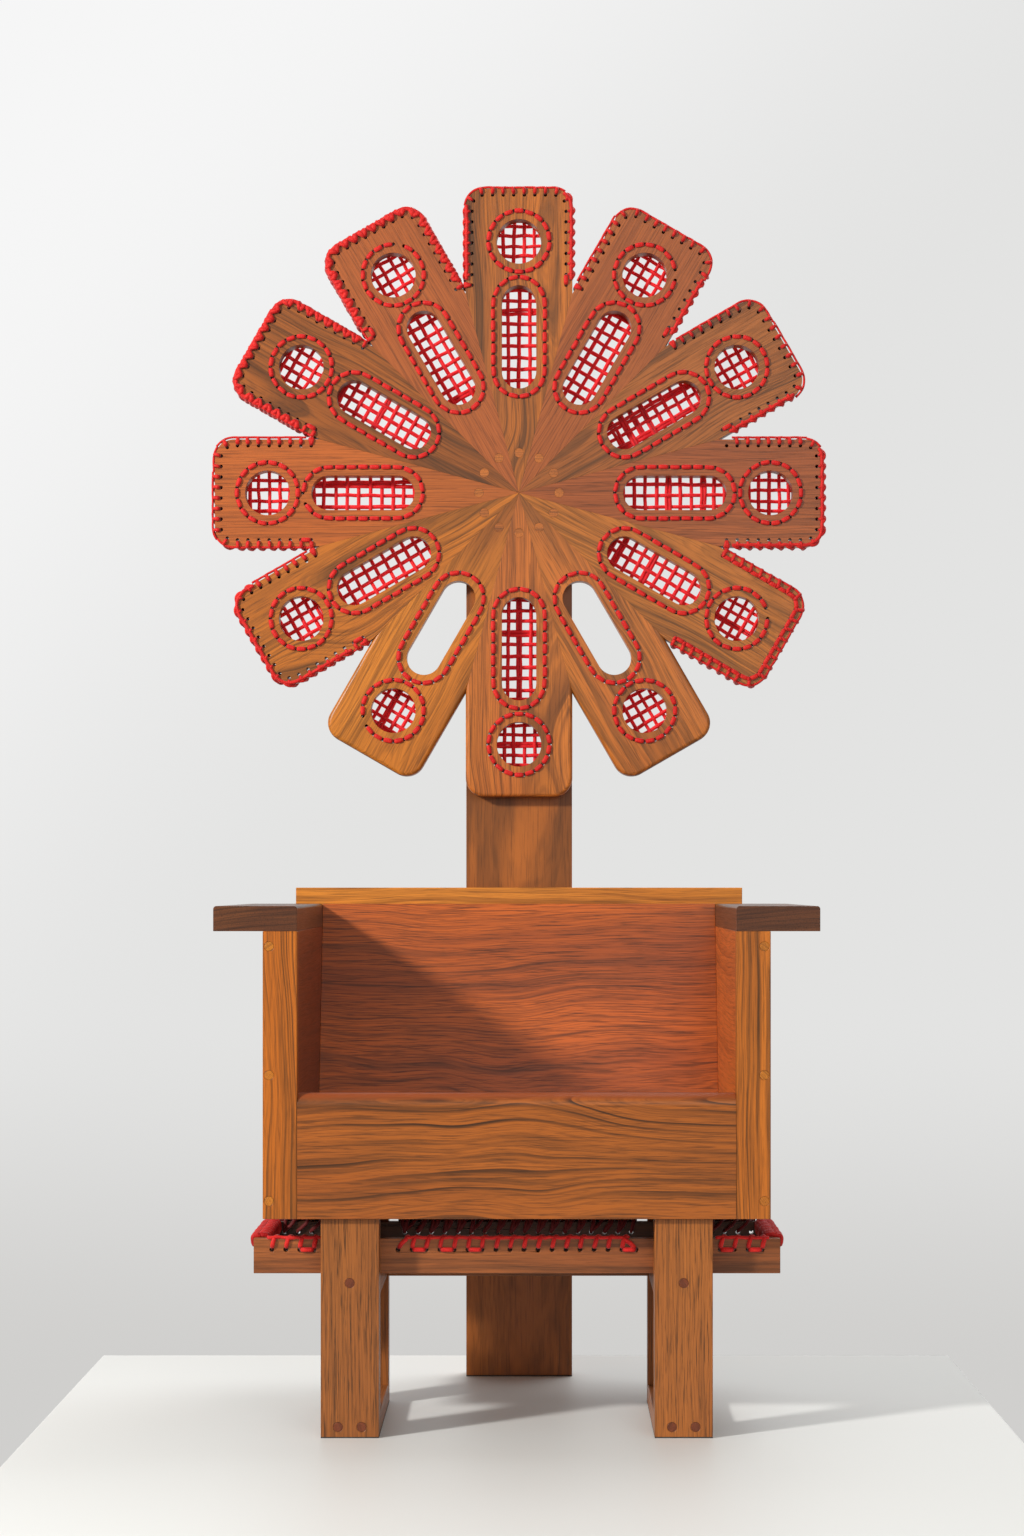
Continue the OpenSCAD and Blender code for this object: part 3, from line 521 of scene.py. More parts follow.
X, Y, Z = (1, 0, 0), (0, 1, 0), (0, 0, 1)
PARTS = [
    # names, along, across, tone, light, dark, other settings, width of the eased edge
    (("back_plank",), Z, X, (164, 98, 52), (188, 116, 60), (100, 64, 42),
     dict(seed=21, pores=0.4, pith=(0.01, -0.31), ring=0.009, lines=0.5, streaks=0.55, flame=0.3,
          wander=0.008), 1.2),
    (("fan_dowels",), Y, X, (150, 90, 54), (206, 128, 70), (90, 60, 42),
     dict(seed=22, veins=0.0, ring=0.003, end=(0.95, 0.92, 0.9)), 0.3),
    # the front board's top colour is painted shade and a painted reddish reflection on its rounded
    # top
    (("front_board",), X, Z, (160, 91, 43), (174, 102, 47), (80, 52, 34),
     dict(seed=23, pith=(0.12, -0.30), ring=0.0066, lines=0.5, streaks=0.55, flame=0.4,
          wander=0.012, pores=0.55, veins=1.0, rare=0.03, top=(142, 68, 30)), 0.8),
    (("left_stile",), Z, X, (190, 110, 40), (210, 128, 46), (100, 64, 32),
     dict(seed=24, pith=(-0.36, -0.30), veins=0.8, ring=0.010, lines=0.65, streaks=0.6,
          flame=0.55, wander=0.009), 0.8),
    (("right_stile",), Z, X, (192, 113, 44), (212, 130, 52), (98, 64, 35),
     dict(seed=25, pith=(0.33, -0.30), veins=0.8, ring=0.009, lines=0.65, streaks=0.6,
          flame=0.5, wander=0.008), 0.8),
    (("left_outer_side",), Y, Z, (160, 94, 50), (178, 108, 54), (86, 56, 38),
     dict(seed=26, pith=(0.42, -0.40), ring=0.010, lines=0.6, streaks=0.6, flame=0.4), 0.8),
    (("right_outer_side",), Y, Z, (160, 94, 50), (178, 108, 54), (86, 56, 38),
     dict(seed=27, pith=(0.5, 0.20), ring=0.010, lines=0.6, streaks=0.6, flame=0.4), 0.8),
    (("left_inner_side",), Y, Z, (138, 66, 31), (152, 75, 34), (96, 46, 27),
     dict(seed=28, pith=(0.8, -0.2), ring=0.006, lines=0.3, streaks=0.35, flame=0.1), 0.6),
    (("right_inner_side",), Y, Z, (196, 103, 52), (210, 114, 56), (104, 52, 30),
     dict(seed=29, pith=(0.8, 0.5), ring=0.006, lines=0.3, streaks=0.35, flame=0.1), 0.6),
    (("back_board",), X, Z, (208, 134, 58), (222, 148, 68), (138, 86, 40),
     dict(seed=30, pith=(0.9, 0.1), ring=0.007, lines=0.5, streaks=0.55, flame=0.1,
          wander=0.006), 0.8),
    (("back_panel",), X, Z, (168, 85, 42), (206, 108, 46), (90, 50, 36),
     dict(seed=31, pith=(0.30, -0.35), ring=0.008, lines=0.35, streaks=0.45, flame=0.25,
          wander=0.008, fibre=0.6, pores=0.65, veins=0.7, rare=0.14), 0.6),
    (("seat_panel",), X, Y, (156, 80, 44), (174, 92, 48), (86, 50, 34),
     dict(seed=32, pith=(-0.05, 0.3), ring=0.010, lines=0.5, streaks=0.6, flame=0.4), 0.6),
    (("bottom_panel",), X, Y, (150, 94, 54), (166, 106, 60), (92, 62, 42),
     dict(seed=33, pith=(0, 0.2)), 0.8),
    (("seat_cleats",), X, Y, (186, 130, 76), (198, 144, 88), (130, 90, 56),
     dict(seed=34, pith=(0.3, 0.2)), 0.8),
    (("left_arm",), Y, X, (104, 64, 48), (122, 78, 56), (62, 40, 34),
     dict(seed=35, pith=(-0.2, 0.55), ring=0.008, lines=0.6, streaks=0.6, flame=0.35,
          end=(0.86, 0.84, 0.86)), 0.5),
    (("right_arm",), Y, X, (104, 64, 48), (122, 78, 56), (62, 40, 34),
     dict(seed=36, pith=(0.45, 0.6), ring=0.008, lines=0.6, streaks=0.6, flame=0.35,
          end=(0.86, 0.84, 0.86)), 0.5),
    (("stile_pegs",), Y, X, (192, 122, 48), (206, 138, 58), (120, 78, 40),
     dict(seed=37, veins=0.0, ring=0.003, lines=0.5, end=(0.95, 0.9, 0.85)), 0.4),
    (("plank_pegs",), Y, X, (150, 94, 52), (166, 106, 58), (92, 60, 40),
     dict(seed=38, veins=0.0, ring=0.003), 0.4),
    (("left_front_post",), Z, X, (150, 92, 52), (168, 106, 60), (96, 62, 42),
     dict(seed=39, pores=0.75, fibre=0.55, veins=0.15, pith=(0.5, -0.3), ring=0.004, lines=0.5,
          streaks=0.5, flame=0.15, wander=0.006), 0.9),
    (("right_front_post",), Z, X, (166, 102, 58), (184, 116, 64), (102, 66, 44),
     dict(seed=40, pores=0.75, fibre=0.55, veins=0.15, pith=(-0.5, -0.3), ring=0.004, lines=0.5,
          streaks=0.5, flame=0.15, wander=0.006), 0.9),
    (("left_rear_post", "right_rear_post"), Z, X, (150, 90, 50), (168, 104, 58), (94, 60, 40),
     dict(seed=41, pores=0.6, fibre=0.5, veins=0.15, pith=(0.5, -0.3), ring=0.006, lines=0.5,
          streaks=0.5, flame=0.2), 0.9),
    (("left_runner", "right_runner"), Y, X, (148, 90, 54), (166, 104, 60), (94, 60, 42),
     dict(seed=42, pith=(0.5, 0.3), ring=0.006, lines=0.5, streaks=0.5, flame=0.2), 0.9),
    (("left_side_rail", "right_side_rail"), Y, X, (150, 90, 52), (168, 104, 58), (94, 60, 40),
     dict(seed=43, rough=0.6, pith=(0.5, 0.3), ring=0.006, lines=0.5, streaks=0.5, flame=0.2), 0.9),
    (("cross_stretcher",), X, Z, (146, 88, 52), (164, 102, 58), (90, 58, 40),
     dict(seed=44, pith=(0.5, -0.1)), 0.9),
    (("leg_pegs",), Y, X, (128, 72, 52), (140, 80, 56), (80, 50, 44),
     dict(seed=45, veins=0.0, ring=0.003, end=(0.8, 0.7, 0.72)), 0.4),
    (("tray_front",), X, Z, (148, 88, 58), (164, 100, 64), (92, 58, 42),
     dict(seed=46, pith=(0.4, -0.3), ring=0.008, lines=0.5, streaks=0.55, flame=0.25,
          wander=0.01), 0.7),
    # the back board's tones are painted shade: far darker than the other tray boards, for the shade
    # under the seat box
    (("tray_back",), X, Z, (72, 42, 30), (82, 48, 34), (44, 28, 22),
     dict(seed=47, pith=(0.4, -0.3), ring=0.008, lines=0.5, streaks=0.55, flame=0.25), 0.7),
    (("tray_left", "tray_right"), Y, Z, (144, 86, 56), (160, 98, 60), (90, 56, 40),
     dict(seed=48, pith=(0.4, -0.3), ring=0.008, lines=0.5, streaks=0.55, flame=0.25), 0.7),
]
for names, along, across, tone, light, dark, extra, width in PARTS:
    for k, name in enumerate(names):
        settings = dict(extra)
        settings["seed"] = extra["seed"] * 10 + k
        dress(name, wood("wood_" + name, along, across, tone, light, dark, **settings), width)
dress("foot_pads", felt_material(), 0.2)

# ---------------------------------------------------------------- cord
CORD = cord_material("red_cord", (222, 36, 26), (186, 14, 18))
# painted light: the nets' cord is coloured lighter than the other cord, against the shade they lie in
# behind the boards
NET_CORD = cord_material("net_cord", (236, 30, 38), (206, 14, 28), 0.7)


def catmull(pts, n):
    """A smooth curve through the points, n steps to a stretch."""
    p = np.asarray(pts, float)
    p = np.vstack([2 * p[0] - p[1], p, 2 * p[-1] - p[-2]])
    out = []
    for i in range(1, len(p) - 2):
        a, b, c, d = p[i - 1], p[i], p[i + 1], p[i + 2]
        for k in range(n):
            t = k / n
            out.append(0.5 * ((2 * b) + (c - a) * t + (2 * a - 5 * b + 4 * c - d) * t * t
                              + (3 * b - a - 3 * c + d) * t ** 3))
    out.append(p[-2])
    return np.array(out)


TOWARDS_VIEWER = np.array((0.0, -1.0, 0.0))


class Tubes:
    """Collects lengths of cord and makes one mesh of them. A share of painted light darkens their
    colour as painted shade, 1 leaving it as it is.
    """

    def __init__(self):
        self.verts, self.faces, self.lay, self.shade, self.count = [], [], [], [], 0
        self.painted_light = 1.0

    def add(self, pts, radius, shade=None, wide=1.0, flat=1.0, steps=3, sides=10, start=0.0):
        """pts in metres, radius in millimetres for all points or one for each, and shade, painted
        into the colour, from 0 deep in a hole to 1 in the light. wide and flat are the cord's
        width and height for a radius of 1, and start is where its braid begins."""
        pts = np.asarray(pts, float)
        r = np.full(len(pts), float(radius)) if np.isscalar(radius) else np.asarray(radius, float)
        lit = np.ones(len(pts)) if shade is None else np.asarray(shade, float)
        q = catmull(np.hstack([pts * 1000, r[:, None], lit[:, None]]), steps)
        r, lit, q = q[:, 3] / 1000, np.clip(q[:, 4], 0, 1), q[:, :3] / 1000
        t = np.gradient(q, axis=0)
        t /= np.maximum(np.linalg.norm(t, axis=1, keepdims=True), 1e-12)
        stretches = np.linalg.norm(np.diff(q, axis=0), axis=1)
        run = start + np.concatenate([[0], np.cumsum(stretches)]) * 1000
        ang = 2 * np.pi * np.arange(sides) / sides
        ca, sa = np.cos(ang), np.sin(ang)
        base, m = self.count, len(q)
        normal = self.carried(t)
        for i in range(m):
            b = np.cross(t[i], normal[i])
            section = wide * ca[:, None] * b + flat * sa[:, None] * normal[i]
            self.verts.append(q[i] + r[i] * section)
            self.lay.append(np.stack([np.full(sides, run[i]), ca, sa], 1))
            # the painted shade of the whole set, laid over each point's own
            self.shade.append(np.full(sides, lit[i] * self.painted_light))
        for i in range(m - 1):
            for k in range(sides):
                a, b = base + i * sides + k, base + i * sides + (k + 1) % sides
                self.faces.append((a, b, b + sides, a + sides))
        self.faces.append(tuple(base + k for k in range(sides))[::-1])
        self.faces.append(tuple(base + (m - 1) * sides + k for k in range(sides)))
        self.count += m * sides

    @staticmethod
    def carried(t):
        """A normal for each point of a path, set where the path lies flattest to the viewer
        and carried both ways from there."""
        seed = int(np.argmin(np.abs(t @ TOWARDS_VIEWER)))
        out = np.zeros_like(t)
        for way in (range(seed, len(t)), range(seed, -1, -1)):
            n = TOWARDS_VIEWER
            for i in way:
                n = n - (n @ t[i]) * t[i]
                n = n / max(np.linalg.norm(n), 1e-12)
                out[i] = n
        return out

    def build(self, name, *stands_for, material=CORD):
        mesh = bpy.data.meshes.new(name)
        mesh.from_pydata(np.concatenate(self.verts).tolist(), [], self.faces)
        mesh.polygons.foreach_set("use_smooth", [True] * len(mesh.polygons))
        lay = mesh.attributes.new("lay", "FLOAT_VECTOR", "POINT")
        lay.data.foreach_set("vector", np.concatenate(self.lay).astype(np.float32).ravel())
        shade = mesh.attributes.new("shade", "FLOAT", "POINT")
        shade.data.foreach_set("value", np.concatenate(self.shade).astype(np.float32))
        mesh.materials.append(material)
        mesh.validate()
        o = bpy.data.objects.new(name, mesh)
        scene.collection.objects.link(o)
        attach(o, "root")
        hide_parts(*stands_for)


def jitter(rnd, size):
    return rnd.uniform(-size, size)


# Ring stitches: short lengths that come out of one hole and dive into the next.
# The missing ones are those that the photograph lacks.
MISSING_ROUND = {11: 15, 7: 15, 4: 1, 1: 14}
MISSING_SLOT = {9: 0}


def ring_stitch(tubes, hour, p, q, rnd):
    d = q - p
    length = float(np.linalg.norm(d))
    t = d / length
    n = np.array([-t[1], t[0]])
    lift, side, thick = 1.7 + jitter(rnd, 0.2), jitter(rnd, 0.45), 2.7 + jitter(rnd, 0.2)
    # along the stitch, out of the face, share of the thickness, and painted light (0 is painted
    # shade)
    half = [(0.9, -10.0, 0.5, 0.0), (1.1, -6.0, 0.5, 0.0), (1.4, -3.2, 0.54, 0.0),
            (1.9, -1.3, 0.64, 0.05), (2.7, lift - 1.2, 0.88, 0.7), (3.5, lift - 0.2, 1.0, 1.0),
            (length / 2, lift, 1.0, 1.0)]
    other = [(length - a, z, r, lit) for a, z, r, lit in half[-2::-1]]
    pts, rad, shade = [], [], []
    for along, z, r, lit in half + other:
        mid = 1 - abs(2 * along / length - 1)
        xy = p + t * along + n * side * mid
        pts.append((xy[0], xy[1], PETAL_T + z))
        rad.append(thick * r)
        shade.append(lit)
    tubes.add(petal_to_world(hour, pts), rad, shade, wide=1.2, flat=0.78, steps=2,
              start=rnd.uniform(0, 40))


rings = Tubes()
for hour in HOURS:
    rnd = random.Random(500 + hour)
    for i in range(ROUND_HOLES):
        if MISSING_ROUND.get(hour) != i:
            ring_stitch(rings, hour, round_ring(i), round_ring(i + 1), rnd)
    for i in range(SLOT_HOLES):
        if MISSING_SLOT.get(hour) != i:
            ring_stitch(rings, hour, slot_ring(i), slot_ring(i + 1), rnd)
rings.build("ring_cord", "ring_stitches")


# Nets on the backs of the petals: crossing strands woven over and under, and held in
# the ring's holes at both ends.
NET_Z, NET_WEAVE = -4.2, 1.7   # mm from the back face, and how far a strand rises and dips
NET_PAIR = 2.1                 # mm from the middle, where two strands lie side by side


def net_strand(tubes, hour, p, q, places, first, rnd, thick, side):
    """One strand from hole p to hole q, which meets others at places along it. side is how
    far it lies from the straight line."""
    d = q - p
    length = float(np.linalg.norm(d))
    t = d / length
    n = np.array([-t[1], t[0]])
    e0, e1 = side + jitter(rnd, 1.3), side + jitter(rnd, 1.3)
    pts = [(*(p + t * 0.5), 9.0), (*(p + t * 0.9), 2.0), (*(p + t * 3.4 + n * e0 * 0.4), -2.6)]
    for k, c in enumerate(places):
        z = NET_Z + (NET_WEAVE if (k + first) % 2 else -NET_WEAVE)
        lie = e0 + (e1 - e0) * c / length + jitter(rnd, 0.4)
        pts.append((*(p + t * c + n * lie), z))
    pts += [(*(q - t * 3.4 + n * e1 * 0.4), -2.6), (*(q - t * 0.9), 2.0), (*(q - t * 0.5), 9.0)]
    tubes.add(petal_to_world(hour, pts), thick + jitter(rnd, 0.2), wide=1.14, flat=0.86, steps=3,
              sides=8, start=rnd.uniform(0, 40))


def net(tubes, hour, across, along, rnd, doubled, thick):
    """across and along are lists of hole pairs. Each strand dips at every crossing.
    doubled is the share of the places that have two strands side by side."""

    def meets(a, others):
        p, q = a
        found = []
        for r, s in others:
            m = np.array([q - p, r - s]).T
            if abs(np.linalg.det(m)) > 1e-6:
                f, g = np.linalg.solve(m, r - p)
                if 0.02 < f < 0.98 and -0.02 < g < 1.02:
                    found.append(f * float(np.linalg.norm(q - p)))
        return sorted(found)

    for first, (strands, others) in enumerate(((across, along), (along, across))):
        for k, a in enumerate(strands):
            sides = (-NET_PAIR, NET_PAIR) if rnd.random() < doubled else (0.0,)
            for side in sides:
                net_strand(tubes, hour, *a, meets(a, others), k + first, rnd, thick, side)


rounds, slots = Tubes(), Tubes()
for hour in HOURS:
    rnd = random.Random(700 + hour)
    last, half = ROUND_HOLES - 1, ROUND_HOLES // 2
    across = [(round_ring(i), round_ring(last - i)) for i in range(half)
              if abs(round_ring(i)[0] - ROUND_AT) < ROUND_D / 2]
    upper = [i for i in range(half // 2) if round_ring(i)[1] < ROUND_D / 2]
    along = [(round_ring(i), round_ring(half - 1 - i)) for i in sorted(upper, reverse=True)]
    along += [(round_ring(last - i), round_ring(half + i)) for i in upper]
    net(rounds, hour, across, along, rnd, doubled=0.05, thick=2.35)
    if hour in NETTED_SLOTS:
        half = SLOT_HOLES // 2
        across = [(slot_ring(i), slot_ring(SLOT_HOLES - i)) for i in range(2, half - 1)]
        along = [(slot_ring(i), slot_ring(half - i)) for i in (1, 0, -1)]
        net(slots, hour, across, along, rnd, doubled=0.17, thick=2.45)
rounds.build("round_net_cord", "round_nets", material=NET_CORD)
slots.build("slot_net_cord", "slot_nets", material=NET_CORD)


# Edge lacing. All points are (s along the edge, off outwards from the holes, z out of
# the front face), in millimetres.
def leg(tubes, fr, s0, s1, s2, inset, thick, beyond, r, rnd, open_hole, tip):
    """Out of hole s0, over the edge at s1 and back to hole s2 behind the board. beyond is how
    far it stands off the edge, open_hole how far it leaves the hole's middle free, and tip
    how thick the cord still is where it turns over the edge."""
    a = open_hole
    m, back = s1 - s0, s2 - s1
    out = inset + beyond
    k = r * tip
    rows = [(s0, a + 0.2, -10, r * 0.6, 0), (s0 + m * 0.03, a + 0.5, -5, r * 0.7, 0),
            (s0 + m * 0.08, a + 1.3, -1.8, r * 0.85, 0.15),
            (s0 + m * 0.2, a + 2.6, r * 0.5, r, 0.8),
            (s0 + m * 0.5, inset * 0.62, r * 0.85, r, 1),
            (s1, inset * 0.95, k * 0.8, (r + k) / 2, 1),
            (s1, out + k * 0.2, k * 0.2, k, 1), (s1, out + k * 0.3, -k * 2.2, k, 1),
            (s1 + back * 0.1, inset + beyond * 0.5 + k * 0.9, -thick * 0.5, k, 1),
            (s1 + back * 0.3, inset + k * 0.7, -thick - k * 0.3, k, 1),
            (s1 + back * 0.5, inset * 0.75, -thick - r, r, 1),
            (s2, 2.0, -thick - r * 0.8, r * 0.9, 1),
            (s2, 0.8, -thick + 2.0, r * 0.75, 0.2), (s2, 0.5, -thick + 8, r * 0.6, 0)]
    tubes.add(fr([q[:3] for q in rows]), [q[3] for q in rows], [q[4] for q in rows],
              wide=1.1, flat=0.88, steps=2, start=rnd.uniform(0, 40))


STRAND_STEP = 5.0          # mm between the bends of a strand along the edge


def along_edge(tubes, fr, s0, s1, off, z, r, rnd, wave):
    """A strand that runs along the edge. wave is how far it strays."""
    n = max(2, int(abs(s1 - s0) / STRAND_STEP))
    pts = [(s0 + (s1 - s0) * k / n, off + jitter(rnd, wave), z + jitter(rnd, wave))
           for k in range(n + 1)]
    tubes.add(fr(pts), [r * (1 + jitter(rnd, 0.05)) for _ in pts], steps=2, sides=8)


def scallops(tubes, fr, places, inset, pitch, rnd):
    """The loops of the knots, which show past the edge as a bump at each hole."""
    for s in places:
        h, j = pitch / 2, jitter(rnd, 0.8)
        pts = [(s - h * 0.8, inset - 1.6, 1.4), (s - h * 0.3 + j, inset + 1.0, 1.2),
               (s + h * 0.1 + j, inset + 2.1, -0.8), (s + h * 0.45 + j, inset + 1.8, -4.0),
               (s + h * 0.8, inset + 0.2, -6.5)]
        tubes.add(fr(pts), [2.2, 2.5, 2.5, 2.3, 1.8], steps=2, start=rnd.uniform(0, 40))


KNOT_TURN, KNOT_LEAN = 8, 1.2   # points to a turn, and mm that it leans along the edge


def knot(tubes, fr, s, off, z, reach, r, rnd):
    """One turn of cord round a strand at (off, z)."""
    pts = []
    for k in range(KNOT_TURN + 1):
        a = 2 * math.pi * k / KNOT_TURN + 0.4
        lean = KNOT_LEAN * (2 * k / KNOT_TURN - 1)
        pts.append((s + lean, off + reach * math.cos(a), z + reach * math.sin(a)))
    tubes.add(fr(pts), r, steps=2, sides=8, start=rnd.uniform(0, 40))


def face_stitch(tubes, fr, s0, s1, off, r, rnd):
    """A stitch on the face from hole to hole."""
    d = s1 - s0
    k = 1 if d > 0 else -1
    rows = [(s0 + 0.3 * k, off, -9, 0.6, 0), (s0 + 0.6 * k, off, -4, 0.75, 0),
            (s0 + 1.5 * k, off, -1.2, 0.88, 0.1), (s0 + 3.0 * k, off, r * 0.5, 1, 0.9),
            (s0 + d * 0.4, off, r * 0.75, 1, 1), (s0 + d * 0.6, off, r * 0.75, 1, 1),
            (s1 - 3.0 * k, off, r * 0.5, 1, 0.9), (s1 - 1.5 * k, off, -1.2, 0.88, 0.1),
            (s1 - 0.6 * k, off, -4, 0.75, 0), (s1 - 0.3 * k, off, -9, 0.6, 0)]
    tubes.add(fr([q[:3] for q in rows]), [q[3] * r for q in rows], [q[4] for q in rows],
              wide=1.14, flat=0.84, steps=2, start=rnd.uniform(0, 40))


# The ways of lacing. L: ladder whips to a strand that stands clear. T: the same with the
# strand on the edge. Q: T with a stitch to the next hole. R and W: whips that lean far on or
# back. K: knotted whips that leave the hole open. Z: slanted double whips. C: a chain of
# stitches on the face with whips. B: a thick bundle over the edge. S: a stitch alone.
#
# The whips of each: where they turn over the edge, as a share of the pitch, a share of the
# hole's lean and in mm; how far they stand beyond the edge; the cord's thickness; how open
# they leave the hole; the thickness of the tip; and whether they end at the next hole.
WHIPS = {
    "L": [(0, 1, 0, 1.9, 1.05, 1.5, 0.7, True)],
    "T": [(0, 1, 0, 0.5, 1.05, 1.5, 0.85, True)],
    "Q": [(0, 1, 0, 0.5, 1.05, 1.5, 0.85, True)],
    "R": [(0.6, 0, 0, 0.5, 1.05, 1.2, 0.85, True)],
    "W": [(-0.85, 0, 0, 0.5, 1.05, 1.0, 0.85, False)],
    "K": [(0, 1, 1.0, 0.4, 0.95, 2.2, 0.8, True)],
    "Z": [(-0.2, 0.5, 0, 0.8, 1.25, 1.2, 1.0, False), (0.3, 0.5, 0, 1.2, 1.25, 1.2, 1.0, True)],
    "C": [(0, 1.6, 0, 1.0, 1.0, 0, 1.0, True)],
    "B": [(0, 0, 1.9 * k, 0.6 + 0.3 * abs(k), 0.85, 0, 1.0, False) for k in (-1, 0, 1)],
    "S": [],
}
# The strands along the edge: how far out from the edge, how far out of the face, radius, wave
STRANDS = {
    "L": [(3.1, -1.3, 1.6, 0.25)],
    "T": [(1.7, -0.6, 1.7, 0.3)],
    "Q": [(1.7, -0.6, 1.7, 0.3)],
    "K": [(-1.5, 1.9, 2.6, 0.5)],
    "Z": [(0.6, 0.6, 3.1, 0.9), (1.6, -5.0, 2.8, 0.8)],
    "C": [(1.4, -1.5, 1.9, 0.5)],
}
PAST_END = 2.0             # mm that a strand runs past the row's last hole


def lace(tubes, fr, places, inset, thick, kinds, rnd, cord=2.6, pitch=EDGE_PITCH,
         slant=0.0):
    """Laces a row of holes. kinds gives the way of lacing at each place, and slant is how
    far every whip leans on."""
    n = len(places)
    for i, (s, kind) in enumerate(zip(places, kinds)):
        nxt = places[i + 1] if i + 1 < n else s
        lean = slant + jitter(rnd, 0.9)
        r = cord * (1 + jitter(rnd, 0.07))
        for of_pitch, of_lean, on, beyond, size, open_hole, tip, onward in WHIPS[kind]:
            turn = s + pitch * of_pitch + lean * of_lean + on
            leg(tubes, fr, s, turn, nxt if onward else s, inset, thick, beyond, r * size, rnd,
                open_hole, tip)
        if kind == "C":
            knot(tubes, fr, s + lean * 0.6, 2.2, 1.8, 2.2, r * 0.72, rnd)
        if kind in "CSQ" and i + 1 < n:
            face_stitch(tubes, fr, s, nxt, 0.6 if kind == "C" else 0.0, r * 1.05, rnd)
    # the strands along the edge, for each stretch that is laced in one way
    i = 0
    while i < n:
        kind, j = kinds[i], i
        while j + 1 < n and kinds[j + 1] == kind:
            j += 1
        a = places[i] - (pitch / 2 if i else PAST_END)
        b = places[j] + (pitch / 2 if j + 1 < n else PAST_END)
        for off, z, r, wave in STRANDS.get(kind, []):
            along_edge(tubes, fr, a, b, inset + off, z, r, rnd, wave)
        if kind == "K":
            scallops(tubes, fr, places[i:j + 1], inset, pitch, rnd)
        i = j + 1


# One letter for each of the 26 holes, from the notch on the clockwise side round the tip.
LACES = {
    12: "SKKKKKKKKTTTTTTTTTKKKKKKKB",
    1: "SKKKKKKTTTTTTTTTTTLLLLLLLB",
    2: "SKKKKKKKLLLLLLLTTTTTTTTTTB",
    3: "BKKKKKKKKKKKKKKKKTLLLLLLLS",
    4: "CCCCCCCCCCCCCCCCCCCCCCCCCC",
    8: "BLLLLLLKKKKKKKKKKKKKKKKKQK",
    9: "BLLLLLLLLTTLLLLLLTTTTTTTQT",
    10: "TZZZZZZZZZZZZZZZZZZZZZZZQT",
    11: "TZZZZZZZZZZZZZZZZZZZZZZZQT",
}
edge_places = [hole_s(i) for i in range(EDGE_HOLES)]
for hour in sorted(LACES):
    tubes = Tubes()
    rnd = random.Random(900 + hour)
    lace(tubes, petal_edge_frame(hour), edge_places, EDGE_INSET, PETAL_T, LACES[hour], rnd)
    tubes.build(f"lacing_cord_{hour:02d}", f"lacing_{hour:02d}")

# The tray's lacing. The legs part the front and back rows in three, and the back one's cord
# colour is darkened with painted shade, as little light reaches it.
TRAY_LACES = {
    # one letter for each hole of the three parts, slant, and painted light (below 1 is painted shade)
    "front": (("TTQT", "RQTQTQTTTTTTTTTTQW", "QTQT"), 2.4, 1.0),
    "back": (("TTQT", "ZZTZZZZZZZZTZZZZTZ", "QTQT"), -1.5, 0.15),
}
LEG_CLEAR = 5.0
tubes = Tubes()
rnd = random.Random(77)
count = int(2 * (TRAY_HALF - TRAY_T) / TRAY_PITCH)
xs = [(i - (count - 1) / 2) * TRAY_PITCH for i in range(count)]
parts = ([x for x in xs if x < -LEG_OUT - LEG_CLEAR],
         [x for x in xs if abs(x) < LEG_IN - LEG_CLEAR],
         [x for x in xs if x > LEG_OUT + LEG_CLEAR])
for kind, (letters, slant, painted_light) in TRAY_LACES.items():
    fr = tray_frame(kind)
    tubes.painted_light = painted_light
    for row, kinds in zip(parts, letters):
        lace(tubes, fr, row, TRAY_INSET, TRAY_T, kinds, rnd, pitch=TRAY_PITCH, slant=slant)
        # where the end whips lean inwards, the strand runs from one to the other
        first, last = (0.6 * TRAY_PITCH, -0.85 * TRAY_PITCH) if kinds[0] == "R" else (-6, 9)
        along_edge(tubes, fr, row[0] + first, row[-1] + last, TRAY_INSET + 1.4, 0.2, 2.3, rnd,
                   wave=0.6)
# the side boards' cords get a little painted shade
tubes.painted_light = 0.85
SIDE_HOLES = 10
side = [(i - (SIDE_HOLES - 1) / 2) * TRAY_PITCH for i in range(SIDE_HOLES)]
for kind in ("left", "right"):
    lace(tubes, tray_frame(kind), side, TRAY_INSET, TRAY_T, "Z" * SIDE_HOLES, rnd, cord=2.5,
         pitch=TRAY_PITCH)
tubes.build("tray_cord", "tray_lacing")

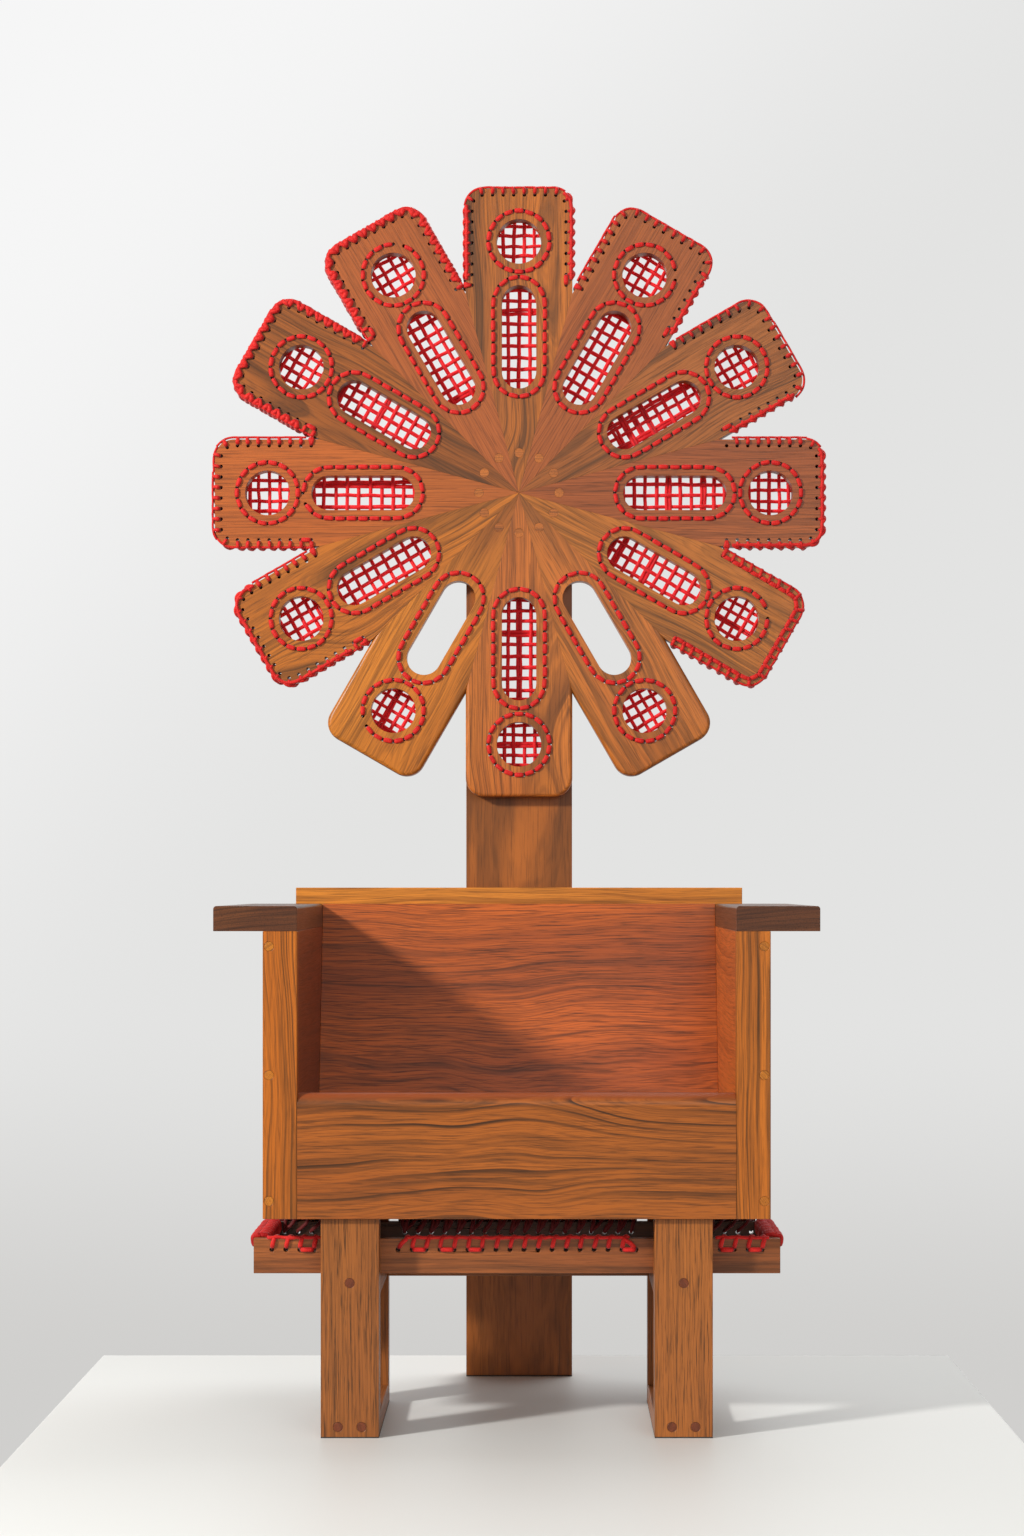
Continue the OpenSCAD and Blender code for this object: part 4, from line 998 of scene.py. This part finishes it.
# ---------------------------------------------------------------- stage and light
def slab(name, xs, ys, zs, colour, rough):
    """A painted box that stands for the floor, between two values on each axis."""
    verts = [(x, y, z) for x in xs for y in ys for z in zs]
    faces = [(0, 1, 3, 2), (4, 6, 7, 5), (0, 4, 5, 1), (2, 3, 7, 6), (0, 2, 6, 4), (1, 5, 7, 3)]
    mesh = bpy.data.meshes.new(name)
    mesh.from_pydata(verts, [], faces)
    mesh.materials.append(stage_material(name + "_paint", colour, rough))
    o = bpy.data.objects.new(name, mesh)
    scene.collection.objects.link(o)
    edge = o.modifiers.new("eased_edges", "BEVEL")
    edge.width, edge.segments = 0.002, 2


# the outline of the plinth's top in the photograph
slab("stage_floor", (-0.624, 0.641), (-1.6, 0.429), (-1.1, 0.0), (219, 221, 219), 0.5)


def area_light(name, place, target, size, energy, colour=(1, 1, 1)):
    data = bpy.data.lights.new(name, "AREA")
    data.shape = "DISK"
    data.size = size
    data.energy = energy
    data.color = colour
    o = bpy.data.objects.new(name, data)
    o.location = place
    o.rotation_euler = (Vector(target) - Vector(place)).to_track_quat("-Z", "Y").to_euler()
    scene.collection.objects.link(o)


area_light("key", (-2.9, -2.46, 2.33), (0, 0, 0.8), 0.42, 170, (1.0, 0.97, 0.93))
area_light("fill", (1.2, -4.6, 2.4), (0, 0, 0.9), 3.0, 50, (1.0, 0.98, 0.95))
area_light("overhead", (0.8, 1.2, 2.9), (0.4, 0.1, 0.0), 1.8, 32)
world = bpy.data.worlds.new("studio")
# The studio by direction: a pale wall behind the chair, a little brighter at the upper left
# and greyer low down, and plain grey light from every other side
wall = Tree(world)
way = wall.coordinates()["Generated"]
glow = wall.ramp(wall.dot(way, (-0.9, 0, 0.9)), 0.05, 0.35)
tone = wall.mix(glow, lin((227, 227, 226)), lin((246, 246, 246)))
upper = wall.ramp(wall.dot(way, (0, 0, 1)), -0.16, -0.04)
tone = wall.mix(upper, lin((208, 207, 205)), tone)
ahead = wall.ramp(wall.dot(way, (0, 1, 0)), 0.3, 0.45)
tone = wall.mix(ahead, (0.34, 0.333, 0.323, 1), tone)
wall.put(wall.nt.nodes["Background"].inputs["Color"], tone)
scene.world = world
scene.view_settings.view_transform = "Standard"
